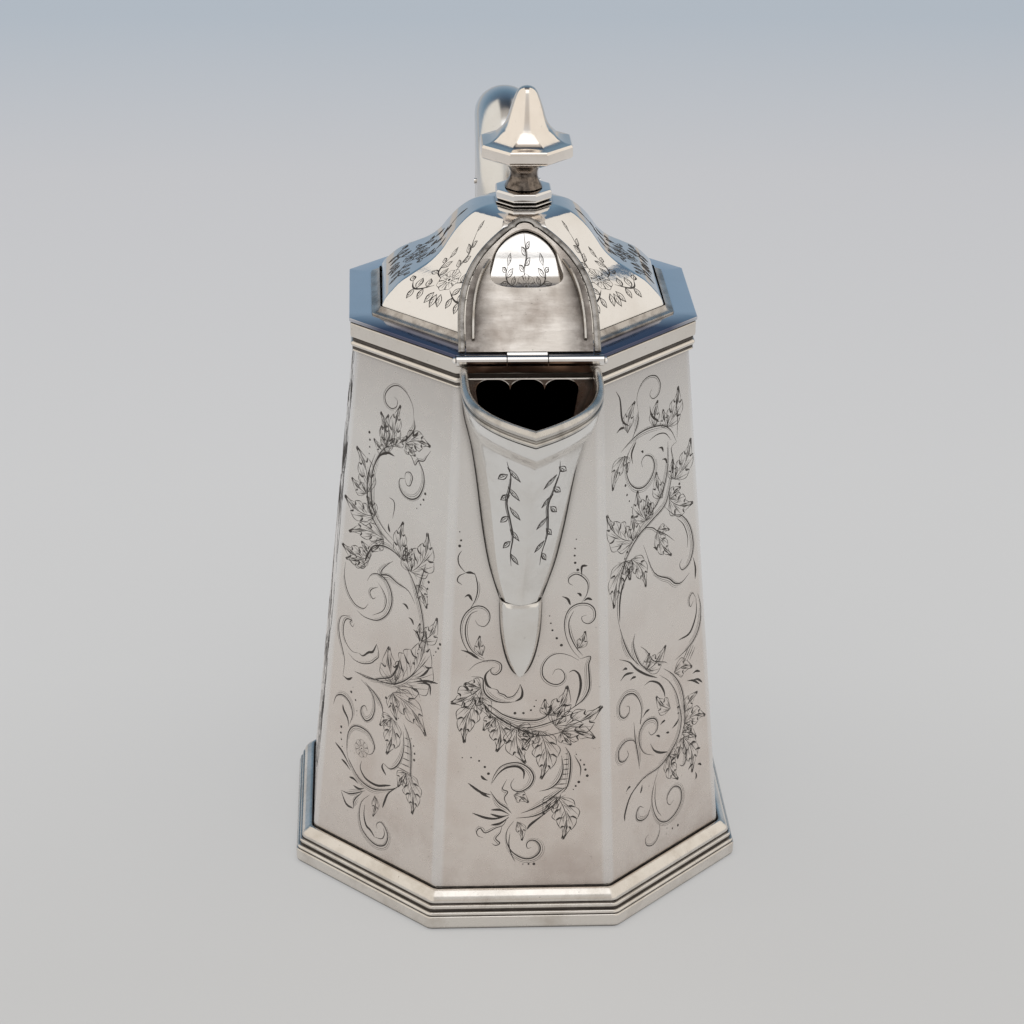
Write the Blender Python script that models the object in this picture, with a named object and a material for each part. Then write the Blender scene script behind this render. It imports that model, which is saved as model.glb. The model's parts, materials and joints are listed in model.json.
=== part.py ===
"""Octagonal silver coffee pot: tapered body, beak spout with a hinged flap, hinged domed lid, hollow handle.

Run it with: blender --background --python part.py
Sizes below are in millimetres and become metres when a mesh is made. The origin is the centre of the foot
on the table, +Z is up, the spout points along -Y and the handle along +Y.
"""

import math

import bmesh
import bpy
from mathutils import Matrix, Vector

MM = 0.001
GAP = 0.3  # solder line left between neighbouring pieces

# Foot and body
FOOT_HALF_FLAT = 69.0
FOOT_HEIGHT = 11.5
BODY_FOOT_HALF_FLAT = 63.5  # outer half-flat at the top of the foot
BODY_TOP_HALF_FLAT = 48.7  # outer half-flat at the foot of the rim band
RIM_BOTTOM = 168.5
BODY_START = 1.8
BODY_END = 176.9
BODY_WALL = 1.4
BODY_CORNER_RADIUS = 3.0
BOTTOM_PLATE_THICKNESS = 1.5  # it lies flush with the foot's underside

# Rim band, a moulding round the mouth of the body
RIM_HALF_FLAT = 50.4
RIM_TOP = 177.5

# Lid
FLANGE_HALF_FLAT = 50.7
FLANGE_LOW = 177.8
FLANGE_TOP = 178.9
FLANGE_HOLE = 39.0
BEZEL_HALF_FLAT = 45.9
BEZEL_DEPTH = 4.4
BEZEL_WALL = 1.2
DOME_LOW = FLANGE_TOP + GAP
DOME_WALL = 1.0
LID_HINGE_Y = 52.8
LID_HINGE_Z = 178.1
LID_HINGE_RADIUS = 1.8
LID_PIN_RADIUS = 0.85
LID_KNUCKLE_HALF = 6.0  # half length of the lid's own knuckle
LID_HINGE_HALF = 20.0

# Finial
FINIAL_X = 0.5  # it stands a little to the right of the dome's middle
STUD_RADIUS = 1.5
STUD_BORE = 1.8
STUD_LOW = 199.0
STUD_TOP = 222.0

# Spout
SPOUT_WALL = 1.2
SPOUT_LEAN = 1.6  # the foot of the spout stands this far to the left of its mouth
TIP_LEAN = 1.1  # the tip of the mouth stands this far to the left of the hinge's middle
MOUTH_DROOP = math.radians(0.9)  # fall of the mouth's plane towards its tip
SHELL_DROOP = math.radians(2.0)  # fall of the shell's top edge towards its tip
LIP_HEIGHT = 3.6  # at the hinge
LIP_HEIGHT_AT_TIP = 4.5
ARCH_STRAIGHT = 8.0  # length of the mouth's straight sides, from the flap's hinge
ARCH_POWER = 2.9

# Flap over the spout's mouth
FLAP_HINGE_Y = -52.7
FLAP_HINGE_Z = 177.9
FLAP_HINGE_RADIUS = 1.6
FLAP_PIN_RADIUS = 0.7
FLAP_HINGE_HALF = 20.7
FLAP_KNUCKLE_LEFT = -6.4
FLAP_KNUCKLE_RIGHT = 4.9
LIP_BELOW_HINGE = 1.1  # the lip's top lies this far below the flap's hinge
FLAP_OPEN_ANGLE = math.radians(37.5)  # slope of the flap as it lies back on the dome
FLAP_START = 2.65
FLAP_HALF_WIDTH = 20.1
FLAP_LENGTH = 48.4
FLAP_HALF_THICKNESS = 0.45
FLAP_FRAME_WIDTH = 1.9
WINDOW_START = 23.8
WINDOW_END = 43.8
WINDOW_HALF_WIDTH = 10.5
TONGUE_HALF_WIDTH = 16.3
TONGUE_REACH = 45.0
TONGUE_WIDTH = 0.9
TONGUE_HEIGHT = 1.6
TONGUE_START = 6.5
TONGUE_END = 33.0

# Handle
PIN_RADIUS = 0.9
PIN_BORE = 1.2

SILVER = (0.80, 0.78, 0.75)
BRIGHT_SILVER = (0.87, 0.86, 0.84)
DARK_SILVER = (0.34, 0.32, 0.31)
IVORY = (0.80, 0.72, 0.55)


def clear_scene():
    for obj in list(bpy.data.objects):
        bpy.data.objects.remove(obj, do_unlink=True)


# ---------------------------------------------------------------- materials and objects


def finish(name, colour, roughness, metallic=1.0):
    material = bpy.data.materials.new(name)
    material.use_nodes = True
    shader = material.node_tree.nodes["Principled BSDF"]
    shader.inputs["Base Color"].default_value = (*colour, 1.0)
    shader.inputs["Roughness"].default_value = roughness
    shader.inputs["Metallic"].default_value = metallic
    return material


def add_object(name, points, faces, material, parent=None, origin=(0.0, 0.0, 0.0), crease=30.0):
    """A closed mesh object. The points are in millimetres, in the frame of the parent or of the world."""
    mesh = bpy.data.meshes.new(name)
    shift = Vector(origin)
    mesh.from_pydata([(Vector(p) - shift) * MM for p in points], [], faces)
    work = bmesh.new()
    work.from_mesh(mesh)
    bmesh.ops.recalc_face_normals(work, faces=work.faces)
    work.to_mesh(mesh)
    work.free()
    mesh.shade_smooth()
    mesh.set_sharp_from_angle(angle=math.radians(crease))
    mesh.materials.append(material)
    obj = bpy.data.objects.new(name, mesh)
    obj.location = shift * MM
    bpy.context.scene.collection.objects.link(obj)
    if parent:
        obj.parent = parent
        obj.location = (0.0, 0.0, 0.0)
    return obj


def add_axis(name, y, z, turn=0.0):
    """An empty on a hinge's axis, which runs along X."""
    axis = bpy.data.objects.new(name, None)
    axis.location = Vector((0.0, y, z)) * MM
    axis.rotation_euler = (turn, 0.0, 0.0)
    axis.empty_display_size = 0.02
    bpy.context.scene.collection.objects.link(axis)
    return axis


def cut(target, points, faces, operation="DIFFERENCE"):
    """Cuts a shape, given in millimetres in the target's own frame, out of the target."""
    number = len(target.modifiers) + 1
    cutter = add_object(f"{target.name}_cutter_{number}", points, faces, target.data.materials[0])
    cutter.matrix_world = Matrix.Identity(4)
    cutter.parent = target
    cutter.hide_render = True
    cutter.display_type = "WIRE"
    modifier = target.modifiers.new(f"cut_{number}", "BOOLEAN")
    modifier.operation = operation
    modifier.solver = "EXACT"
    modifier.object = cutter


# ---------------------------------------------------------------- shapes


def loft(rings, closed=False):
    """Points and faces joining rings of equal length. A closed loft joins its last ring to its first."""
    count = len(rings[0])
    points = [point for ring in rings for point in ring]
    faces = []
    for row in range(len(rings) if closed else len(rings) - 1):
        low = row * count
        high = ((row + 1) % len(rings)) * count
        for i in range(count):
            j = (i + 1) % count
            faces.append((low + i, low + j, high + j, high + i))
    if not closed:
        faces.append(tuple(reversed(range(count))))
        faces.append(tuple(range(len(points) - count, len(points))))
    return points, faces


def ladder_loft(rings):
    """A loft of mirror-symmetric rings whose end caps are ladders of quads across the middle."""
    points, faces = loft(rings)
    faces = faces[:-2]
    count = len(rings[0])
    for start, flip in ((0, True), (len(points) - count, False)):
        for i in range((count - 1) // 2):
            rung = [start + i, start + i + 1, start + count - 2 - i, start + count - 1 - i]
            rung = list(dict.fromkeys(rung))
            faces.append(tuple(reversed(rung)) if flip else tuple(rung))
    return points, faces


def octagon_ring(half_flat, z, corner_radius, arc_steps=4):
    """An octagon with flats towards X and Y, and rounded corners."""
    reach = (half_flat - corner_radius) / math.cos(math.radians(22.5))
    ring = []
    for corner in range(8):
        middle = math.radians(22.5 + 45 * corner)
        for step in range(arc_steps + 1):
            angle = math.radians(45 * corner + 45 * step / arc_steps)
            x = reach * math.cos(middle) + corner_radius * math.cos(angle)
            y = reach * math.sin(middle) + corner_radius * math.sin(angle)
            ring.append((x, y, z))
    return ring


def octagon_turned(profile, corner_radius, arc_steps=4):
    """A closed (half-flat, z) outline carried round the octagon, as a moulding or a shell."""
    rings = [octagon_ring(half, z, min(corner_radius, 0.6 * half), arc_steps) for half, z in profile]
    return loft(rings, closed=True)


def circle(radius, centre, steps=20, axis="X"):
    ring = []
    for i in range(steps):
        angle = 2 * math.pi * i / steps
        a, b = radius * math.cos(angle), radius * math.sin(angle)
        offset = {"X": (0.0, a, b), "Z": (a, b, 0.0)}[axis]
        ring.append(tuple(c + o for c, o in zip(centre, offset)))
    return ring


def rod(start, end, radius, steps=14):
    """A cylinder along X or Z between two centres."""
    axis = "X" if abs(end[0] - start[0]) > abs(end[2] - start[2]) else "Z"
    return loft([circle(radius, start, steps, axis), circle(radius, end, steps, axis)])


def headed_rod(start_x, end_x, y, z, radius, head_radius, head_length):
    """A hinge pin along X with a rounded head at each end."""
    stations = [
        (start_x - head_length, 0.45 * head_radius),
        (start_x - 0.6 * head_length, 0.88 * head_radius),
        (start_x, head_radius),
        (start_x, radius),
    ]
    stations += [(start_x + end_x - x, r) for x, r in reversed(stations)]
    return loft([circle(r, (x, y, z), 12) for x, r in stations])


def box(low, high):
    corners = ((low[0], low[1]), (high[0], low[1]), (high[0], high[1]), (low[0], high[1]))
    return loft([[(x, y, z) for x, y in corners] for z in (low[2], high[2])])


def smooth_lookup(table, x, column):
    """Cubic interpolation in a table of rows that ascend in their first column."""
    xs = [row[0] for row in table]
    ys = [row[column] for row in table]
    x = min(max(x, xs[0]), xs[-1])
    i = max(k for k in range(len(xs) - 1) if xs[k] <= x)

    def slope(k):
        low, high = max(k - 1, 0), min(k + 1, len(xs) - 1)
        return (ys[high] - ys[low]) / (xs[high] - xs[low])

    step = xs[i + 1] - xs[i]
    t = (x - xs[i]) / step
    return (
        (2 * t**3 - 3 * t**2 + 1) * ys[i]
        + (t**3 - 2 * t**2 + t) * step * slope(i)
        + (3 * t**2 - 2 * t**3) * ys[i + 1]
        + (t**3 - t**2) * step * slope(i + 1)
    )


def body_half_flat(z):
    """Outer half-flat of the tapered body."""
    share = (z - FOOT_HEIGHT) / (RIM_BOTTOM - FOOT_HEIGHT)
    return BODY_FOOT_HALF_FLAT + (BODY_TOP_HALF_FLAT - BODY_FOOT_HALF_FLAT) * share


def arch_half_width(s, half_width, length):
    """Half width of the mouth's pointed arch at a distance s from the hinge."""
    share = max(0.0, (s - ARCH_STRAIGHT) / (length - ARCH_STRAIGHT))
    return half_width * (1.0 - min(share, 1.0) ** ARCH_POWER)


# ---------------------------------------------------------------- foot and body


def build_foot():
    inner_low = body_half_flat(0.0) + GAP
    inner_high = body_half_flat(FOOT_HEIGHT) + GAP
    out = FOOT_HALF_FLAT
    profile = [
        (inner_low, 0.0),
        (out - 0.5, 0.0),
        (out, 0.6),
        (out, 3.5),
        (out - 0.5, 3.8),
        (out - 0.2, 4.2),
        (out - 0.4, 4.9),
        (out - 1.5, 5.2),
        (out - 1.1, 5.9),
        (out - 1.2, 6.8),
        (out - 2.0, 7.2),
        (out - 1.9, 8.6),
        (out - 2.8, 10.3),
        (out - 4.2, FOOT_HEIGHT),
        (inner_high, FOOT_HEIGHT),
    ]
    add_object("foot_moulding", *octagon_turned(profile, 4.0, 2), finish("foot_silver", SILVER, 0.28))


def build_body_shell():
    levels = (BODY_START, RIM_BOTTOM, BODY_END)
    outer = [octagon_ring(body_half_flat(z), z, BODY_CORNER_RADIUS, 3) for z in levels]
    inner = [octagon_ring(body_half_flat(z) - BODY_WALL, z, BODY_CORNER_RADIUS - 1.0, 3) for z in levels]
    points, faces = loft(outer + inner[::-1], closed=True)
    shell = add_object("body_shell", points, faces, finish("body_silver", SILVER, 0.30))
    cut(shell, *spout_opening())


def spout_opening():
    """The hole behind the spout: three lobes at the top, narrowing to a round end below."""
    centre, half_width, lobe_foot, lobe_rise = -0.4, 14.6, 167.3, 3.4
    low, low_half_width = 124.9, 7.6
    lobe_half = half_width / 3
    outline = []
    for lobe in (2, 0, -2):
        for step in range(9):
            angle = math.pi * step / 9
            x = centre + lobe * lobe_half + lobe_half * math.cos(angle)
            outline.append((x, lobe_foot + lobe_rise * math.sin(angle) ** 0.8))
    outline.append((centre - half_width, lobe_foot))
    for step in range(9):
        angle = math.pi + math.pi * step / 8
        outline.append((centre + low_half_width * math.cos(angle), low + low_half_width * math.sin(angle)))
    front = [(x, -70.0, z) for x, z in outline]
    back = [(x, -30.0, z) for x, z in outline]
    return loft([front, back])


def build_bottom_plate():
    half = body_half_flat(0.0) - 0.5
    rings = [octagon_ring(half, z, 2.5, 2) for z in (0.0, BOTTOM_PLATE_THICKNESS)]
    add_object("bottom_plate", *loft(rings), finish("bottom_silver", SILVER, 0.35))


def build_rim_band():
    inner_low = body_half_flat(RIM_BOTTOM) + GAP
    inner_high = body_half_flat(RIM_TOP) + GAP
    out = RIM_HALF_FLAT
    profile = [
        (inner_low, RIM_BOTTOM),
        (out - 0.75, RIM_BOTTOM),
        (out - 0.35, RIM_BOTTOM + 0.35),
        (out - 0.75, RIM_BOTTOM + 0.8),
        (out - 0.75, RIM_BOTTOM + 1.5),
        (out - 0.2, RIM_BOTTOM + 1.9),
        (out, RIM_BOTTOM + 2.5),
        (out - 0.2, RIM_BOTTOM + 3.1),
        (out - 0.8, RIM_BOTTOM + 3.4),
        (out - 0.8, RIM_BOTTOM + 4.2),
        (out - 0.1, RIM_BOTTOM + 4.6),
        (out, RIM_BOTTOM + 5.2),
        (out, RIM_TOP - 0.4),
        (out - 0.3, RIM_TOP),
        (inner_high, RIM_TOP),
    ]
    band = add_object("rim_band", *octagon_turned(profile, 1.2, 2), finish("rim_silver", SILVER, 0.25))
    cut(band, *box((-18.6, -60.0, RIM_BOTTOM - 1.0), (18.6, -40.0, RIM_BOTTOM + 2.7)))


# ---------------------------------------------------------------- spout

# Height on the body, half-width against the body, half-width and depth of the two ridges that bound the
# side faces, depth of the middle ridge, and how far the middle hangs below the edges.
SPOUT_STATIONS = [
    (105.4, 6.0, 4.6, 2.6, 3.4, 1.6),
    (110.0, 7.7, 5.8, 4.2, 6.4, 1.0),
    (117.0, 9.7, 7.4, 7.0, 11.2, 0.4),
    (128.0, 11.8, 9.0, 11.5, 18.8, 0.0),
    (140.0, 13.6, 10.5, 16.4, 27.2, 0.0),
    (151.0, 15.6, 12.1, 20.9, 35.4, 0.0),
    (162.0, 18.4, 14.3, 25.6, 43.6, 0.0),
    (172.9, 19.2, 16.9, 30.2, 51.6, 0.0),
]
SPOUT_ROWS = (105.4, 108.0, 113.0, 120.0, 129.0, 140.0, 151.0, 159.0, 163.5, 167.8, 168.4, 170.5, 172.9)
MOUTH_BLEND_START = 161.9  # above this height the faceted section turns into the mouth's arch
SHELL_HALF_WIDTH = 19.2
SHELL_LENGTH = 47.2
SIDE_STEPS = 3
FRONT_STEPS = 6


def spout_shift(z):
    """Sideways place of the spout's middle at a height."""
    share = min(max((RIM_BOTTOM - z) / 60.0, 0.0), 1.0)
    return -SPOUT_LEAN * share


def spout_lean(y, z):
    """Sideways place of a point of the spout, whose tip leans to the left as well."""
    rise = min(max((z - SPOUT_ROWS[0]) / (SPOUT_ROWS[-1] - SPOUT_ROWS[0]), 0.0), 1.0)
    reach = min(max((FLAP_HINGE_Y - y) / SHELL_LENGTH, 0.0), 1.0)
    return spout_shift(z) - TIP_LEAN * rise * reach**2


def spout_back(z):
    """Y of the spout's back edge, just off the body or off the rim band."""
    if z < RIM_BOTTOM - GAP:
        return -(body_half_flat(z) + GAP)
    return -(RIM_HALF_FLAT + GAP)


def lip_top(s):
    """Height of the mouth's plane at a distance s from the flap's hinge."""
    return FLAP_HINGE_Z - LIP_BELOW_HINGE - s * math.tan(MOUTH_DROOP)


def spout_half_outline(z, wall):
    """(x, y) points from the body to the middle ridge at a height, set in by a wall thickness."""
    junction = smooth_lookup(SPOUT_STATIONS, z, 1) - wall
    ridge = smooth_lookup(SPOUT_STATIONS, z, 2) - 0.9 * wall
    face = body_half_flat(z)
    ridge_y = -(face + smooth_lookup(SPOUT_STATIONS, z, 3) - 0.8 * wall)
    middle_y = -(face + smooth_lookup(SPOUT_STATIONS, z, 4) - 1.5 * wall)
    back_y = spout_back(z) if wall == 0 else -30.0
    faceted = [(junction, back_y)]
    for step in range(1, SIDE_STEPS + 1):
        share = step / SIDE_STEPS
        faceted.append((junction + (ridge - junction) * share, back_y + (ridge_y - back_y) * share))
    for step in range(1, FRONT_STEPS + 1):
        share = step / FRONT_STEPS
        bulge = 0.06 * ridge * math.sin(math.pi * share)
        faceted.append((ridge * (1 - share) + bulge, ridge_y + (middle_y - ridge_y) * share))
    return faceted


def mouth_half_outline(wall, back_y):
    """(x, y) points of the same count round the mouth, from the body to the tip."""
    width = SHELL_HALF_WIDTH - wall
    length = SHELL_LENGTH - 1.25 * wall
    shoulder = 0.62 * length
    points = [(width, back_y)]
    for step in range(1, SIDE_STEPS + 1):
        s = shoulder * step / SIDE_STEPS
        points.append((arch_half_width(s, width, length), FLAP_HINGE_Y - s))
    for step in range(1, FRONT_STEPS + 1):
        s = shoulder + (length - shoulder) * step / FRONT_STEPS
        points.append((arch_half_width(s, width, length), FLAP_HINGE_Y - s))
    return points


def spout_ring(z, wall):
    """One level of the spout as a full ring, from the left back edge round the front to the right."""
    blend = min(max((z - MOUTH_BLEND_START) / (SPOUT_ROWS[-1] - MOUTH_BLEND_START), 0.0), 1.0)
    blend = blend * blend * (3 - 2 * blend)
    faceted = spout_half_outline(z, wall)
    mouth = mouth_half_outline(wall, faceted[0][1])
    dip = smooth_lookup(SPOUT_STATIONS, z, 5)
    half = []
    for (fx, fy), (mx, my) in zip(faceted, mouth):
        x, y = fx + (mx - fx) * blend, fy + (my - fy) * blend
        drop = dip * (1 - (fx / faceted[0][0]) ** 2)
        if blend > 0 and y < FLAP_HINGE_Y:
            drop += blend * (FLAP_HINGE_Y - y) * math.tan(SHELL_DROOP)
        half.append((x, y, z - drop))
    left = [(-x + spout_lean(y, z), y, height) for x, y, height in half]
    right = [(x + spout_lean(y, z), y, height) for x, y, height in reversed(half[:-1])]
    return left + right


def build_spout_shell():
    outer = [spout_ring(z, 0.0) for z in SPOUT_ROWS]
    inner = [spout_ring(z, SPOUT_WALL) for z in SPOUT_ROWS[2:]]
    above = [(x, y, z + 3.0) for x, y, z in inner[-1]]
    shell = add_object("spout_shell", *ladder_loft(outer), finish("spout_silver", SILVER, 0.25))
    cut(shell, *ladder_loft(inner + [above]))


def build_spout_drop():
    """The long tongue below the spout, bevelled at its sides and lying on the body."""
    top, tip, half_width, thickness = 103.2, 80.5, 6.1, 2.4
    rings = []
    for step in range(10):
        share = math.sin(0.5 * math.pi * step / 9.4)
        level = top - (top - tip) * share
        width = half_width * (1 - share**2.2) ** 0.6
        rise = thickness * (1 - 0.45 * share)
        ring = []
        for across, height in ((-1, 0), (-0.7, 1), (-0.35, 1.08), (0, 1.12), (0.35, 1.08), (0.7, 1), (1, 0)):
            lift = 1.4 * (1 - share) ** 2 * across**2
            z = level + lift
            y = -(body_half_flat(z) + GAP + rise * height)
            ring.append((across * width + spout_shift(z), y, z))
        rings.append(ring)
    add_object("spout_drop", *ladder_loft(rings), finish("drop_silver", SILVER, 0.25))


def arch_path(half_width, length, start, steps):
    """Points and outward normals round the pointed arch, from the left end over the tip to the right."""
    side = []
    for step in range(steps + 1):
        s = start + (length - start) * math.sin(0.5 * math.pi * step / steps)
        x = arch_half_width(s, half_width, length)
        ahead = arch_half_width(min(s + 0.01, length), half_width, length)
        behind = arch_half_width(s - 0.01, half_width, length)
        slope = (ahead - behind) / (min(s + 0.01, length) - s + 0.01)
        size = math.hypot(1.0, slope)
        side.append((x, s, 1.0 / size, -slope / size))
    tip_half_angle = math.atan2(side[-1][2], side[-1][3])
    left = [(-x, s, -nx, ns) for x, s, nx, ns in side[:-1]]
    tip = (0.0, length, 0.0, 1.0 / math.cos(tip_half_angle))
    return left + [tip] + list(reversed([p for p in side[:-1]]))


def build_spout_lip():
    """A moulding round the mouth: a rounded top band, a groove and a thin bead."""
    section = [
        (-1.6, -LIP_HEIGHT),
        (-1.6, -0.5),
        (-1.2, -0.1),
        (-0.4, 0.0),
        (0.4, -0.5),
        (0.75, -1.2),
        (0.6, -1.8),
        (0.05, -2.0),
        (0.05, -2.5),
        (0.5, -2.7),
        (0.65, -3.0),
        (0.5, -3.35),
        (0.05, -LIP_HEIGHT),
    ]
    rings = []
    for x, s, nx, ns in arch_path(SHELL_HALF_WIDTH, SHELL_LENGTH, 2.3, 11):
        ring = []
        for out, height in section:
            along = s + out * ns
            lean = TIP_LEAN * (s / SHELL_LENGTH) ** 2
            deeper = 1 + (LIP_HEIGHT_AT_TIP / LIP_HEIGHT - 1) * s / SHELL_LENGTH
            z = lip_top(along) + height * deeper
            ring.append((x + out * nx - lean, FLAP_HINGE_Y - along, z))
        rings.append(ring)
    add_object("spout_lip", *loft(rings), finish("lip_silver", SILVER, 0.28))


# ---------------------------------------------------------------- hinges


def knuckle_outline(radius, leaf_length, leaf_low, leaf_high, steps=14):
    """(a, b) outline of a hinge knuckle: a barrel at the origin with a leaf reaching out along +a."""
    start = math.asin(leaf_high / radius)
    end = 2 * math.pi + math.asin(leaf_low / radius)
    outline = [(leaf_length, leaf_low), (leaf_length, leaf_high)]
    for step in range(steps + 1):
        angle = start + (end - start) * step / steps
        outline.append((radius * math.cos(angle), radius * math.sin(angle)))
    return outline


def add_knuckle(name, left, right, outline, place, bore, material, parent=None):
    """A knuckle between two x values. place turns an outline point into (y, z) from the hinge's axis."""
    rings = [[(x, *place(a, b)) for a, b in outline] for x in (left, right)]
    knuckle = add_object(name, *loft(rings), material, parent)
    cut(knuckle, *loft([circle(bore, (x, 0.0, 0.0), 12) for x in (left - 1.0, right + 1.0)]))
    return knuckle


def build_pot_knuckles():
    outline = knuckle_outline(LID_HINGE_RADIUS, 6.0, -1.75, -0.9)
    axis = add_axis("lid_hinge_seat", LID_HINGE_Y, LID_HINGE_Z)
    for name, left, right in (
        ("lid_hinge_left_knuckle", -LID_HINGE_HALF, -LID_KNUCKLE_HALF - GAP),
        ("lid_hinge_right_knuckle", LID_KNUCKLE_HALF + GAP, LID_HINGE_HALF),
    ):
        add_knuckle(
            name,
            left,
            right,
            outline,
            lambda a, b: (b, -a),
            LID_PIN_RADIUS + GAP,
            finish(f"{name}_silver", SILVER, 0.25),
            axis,
        )
    pin = headed_rod(-LID_HINGE_HALF - GAP, LID_HINGE_HALF + GAP, 0.0, 0.0, LID_PIN_RADIUS, 1.2, 0.9)
    add_object("lid_hinge_pin", *pin, finish("lid_pin_silver", BRIGHT_SILVER, 0.2), axis)


def build_lid_knuckle(lid):
    outline = knuckle_outline(LID_HINGE_RADIUS, LID_HINGE_Y - FLANGE_HALF_FLAT - GAP, -0.8, 0.2)
    add_knuckle(
        "lid_knuckle",
        -LID_KNUCKLE_HALF,
        LID_KNUCKLE_HALF,
        outline,
        lambda a, b: (-a, -b),
        LID_PIN_RADIUS + GAP,
        finish("lid_knuckle_silver", SILVER, 0.25),
        lid,
    )


def build_flap_hinge_seat(lid):
    """The two outer knuckles of the flap's hinge and its pin, which stay with the lid."""
    seat = add_axis("flap_hinge_seat", FLAP_HINGE_Y - LID_HINGE_Y, FLAP_HINGE_Z - LID_HINGE_Z)
    seat.parent = lid
    leaf = -FLANGE_HALF_FLAT - GAP - FLAP_HINGE_Y
    outline = knuckle_outline(FLAP_HINGE_RADIUS, leaf, -0.1, 0.8)
    for name, left, right in (
        ("flap_hinge_left_knuckle", -FLAP_HINGE_HALF, FLAP_KNUCKLE_LEFT - GAP),
        ("flap_hinge_right_knuckle", FLAP_KNUCKLE_RIGHT + GAP, FLAP_HINGE_HALF),
    ):
        add_knuckle(
            name,
            left,
            right,
            outline,
            lambda a, b: (a, b),
            FLAP_PIN_RADIUS + GAP,
            finish(f"{name}_silver", BRIGHT_SILVER, 0.2),
            seat,
        )
    pin = headed_rod(-FLAP_HINGE_HALF - GAP, FLAP_HINGE_HALF + GAP, 0.0, 0.0, FLAP_PIN_RADIUS, 1.1, 0.8)
    add_object("flap_hinge_pin", *pin, finish("flap_pin_silver", BRIGHT_SILVER, 0.2), seat)


# ---------------------------------------------------------------- lid

DOME_PROFILE = [
    (41.6, DOME_LOW),
    (41.3, 180.6),
    (40.3, 183.2),
    (38.3, 185.5),
    (35.6, 188.0),
    (31.5, 190.4),
    (27.0, 192.9),
    (23.7, 195.8),
    (21.6, 198.7),
    (19.6, 201.4),
    (17.2, 203.9),
    (14.3, 206.1),
    (11.0, 207.3),
    (7.2, 207.8),
]


def add_lid_piece(name, shape, material, lid):
    return add_object(name, *shape, material, lid, origin=(0.0, LID_HINGE_Y, LID_HINGE_Z))


def build_flange(lid):
    edge = FLANGE_HALF_FLAT
    profile = [
        (FLANGE_HOLE, FLANGE_LOW),
        (edge - 0.2, FLANGE_LOW),
        (edge, FLANGE_LOW + 0.2),
        (edge, FLANGE_TOP - 0.2),
        (edge - 0.2, FLANGE_TOP),
        (FLANGE_HOLE, FLANGE_TOP),
    ]
    add_lid_piece("lid_flange", octagon_turned(profile, 0.8, 1), finish("flange_silver", BRIGHT_SILVER, 0.12), lid)


def build_bezel(lid):
    high = FLANGE_LOW - GAP
    profile = [
        (BEZEL_HALF_FLAT - BEZEL_WALL, high - BEZEL_DEPTH),
        (BEZEL_HALF_FLAT, high - BEZEL_DEPTH),
        (BEZEL_HALF_FLAT, high),
        (BEZEL_HALF_FLAT - BEZEL_WALL, high),
    ]
    add_lid_piece("lid_bezel", octagon_turned(profile, 2.0, 2), finish("bezel_silver", SILVER, 0.35), lid)


def add_finial_piece(name, shape, material, lid):
    points, faces = shape
    add_lid_piece(name, ([(x + FINIAL_X, y, z) for x, y, z in points], faces), material, lid)


def build_dome_step(lid):
    low = DOME_LOW
    profile = [(42.0, low), (44.0, low), (44.1, low + 0.5), (43.4, low + 1.0), (42.1, low + 1.1)]
    shape = octagon_turned(profile, 1.2, 2)
    add_lid_piece("dome_step", shape, finish("dome_step_silver", BRIGHT_SILVER, 0.2), lid)


def build_dome(lid):
    """The ogee dome: its underside follows its outside at the wall's thickness."""
    inside = []
    for index, (half, z) in enumerate(DOME_PROFILE):
        before = DOME_PROFILE[max(index - 1, 0)]
        after = DOME_PROFILE[min(index + 1, len(DOME_PROFILE) - 1)]
        along = Vector((after[0] - before[0], after[1] - before[1])).normalized()
        inside.append((half - along.y * DOME_WALL, z + along.x * DOME_WALL))
    inside[0] = (DOME_PROFILE[0][0] - DOME_WALL, DOME_LOW)
    inside[-1] = (STUD_BORE + 0.5, DOME_PROFILE[-1][1] - DOME_WALL)
    top = (STUD_BORE + 0.5, DOME_PROFILE[-1][1])
    profile = DOME_PROFILE + [top] + inside[::-1]
    shape = octagon_turned(profile, 1.6, 2)
    add_lid_piece("lid_dome", shape, finish("dome_silver", BRIGHT_SILVER, 0.12), lid)


def build_finial(lid):
    base = DOME_PROFILE[-1][1] + GAP
    collar = [
        (STUD_BORE, base),
        (7.1, base),
        (7.2, base + 0.4),
        (8.0, base + 0.7),
        (8.1, base + 3.3),
        (7.6, base + 3.7),
        (STUD_BORE, base + 3.7),
    ]
    shape = octagon_turned(collar, 0.5, 2)
    add_finial_piece("finial_collar", shape, finish("collar_silver", BRIGHT_SILVER, 0.2), lid)
    stem_low = base + 3.7 + GAP
    stem = [(STUD_BORE, stem_low), (5.4, stem_low), (4.9, stem_low + 1.1), (4.2, stem_low + 2.6)]
    stem += [(3.95, stem_low + 4.2), (4.3, stem_low + 5.5), (5.0, stem_low + 6.6), (STUD_BORE, stem_low + 6.6)]
    shape = octagon_turned(stem, 2.2, 2)
    add_finial_piece("finial_stem", shape, finish("stem_silver", DARK_SILVER, 0.4), lid)
    build_finial_cap(lid, stem_low + 6.6 + GAP)


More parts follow.
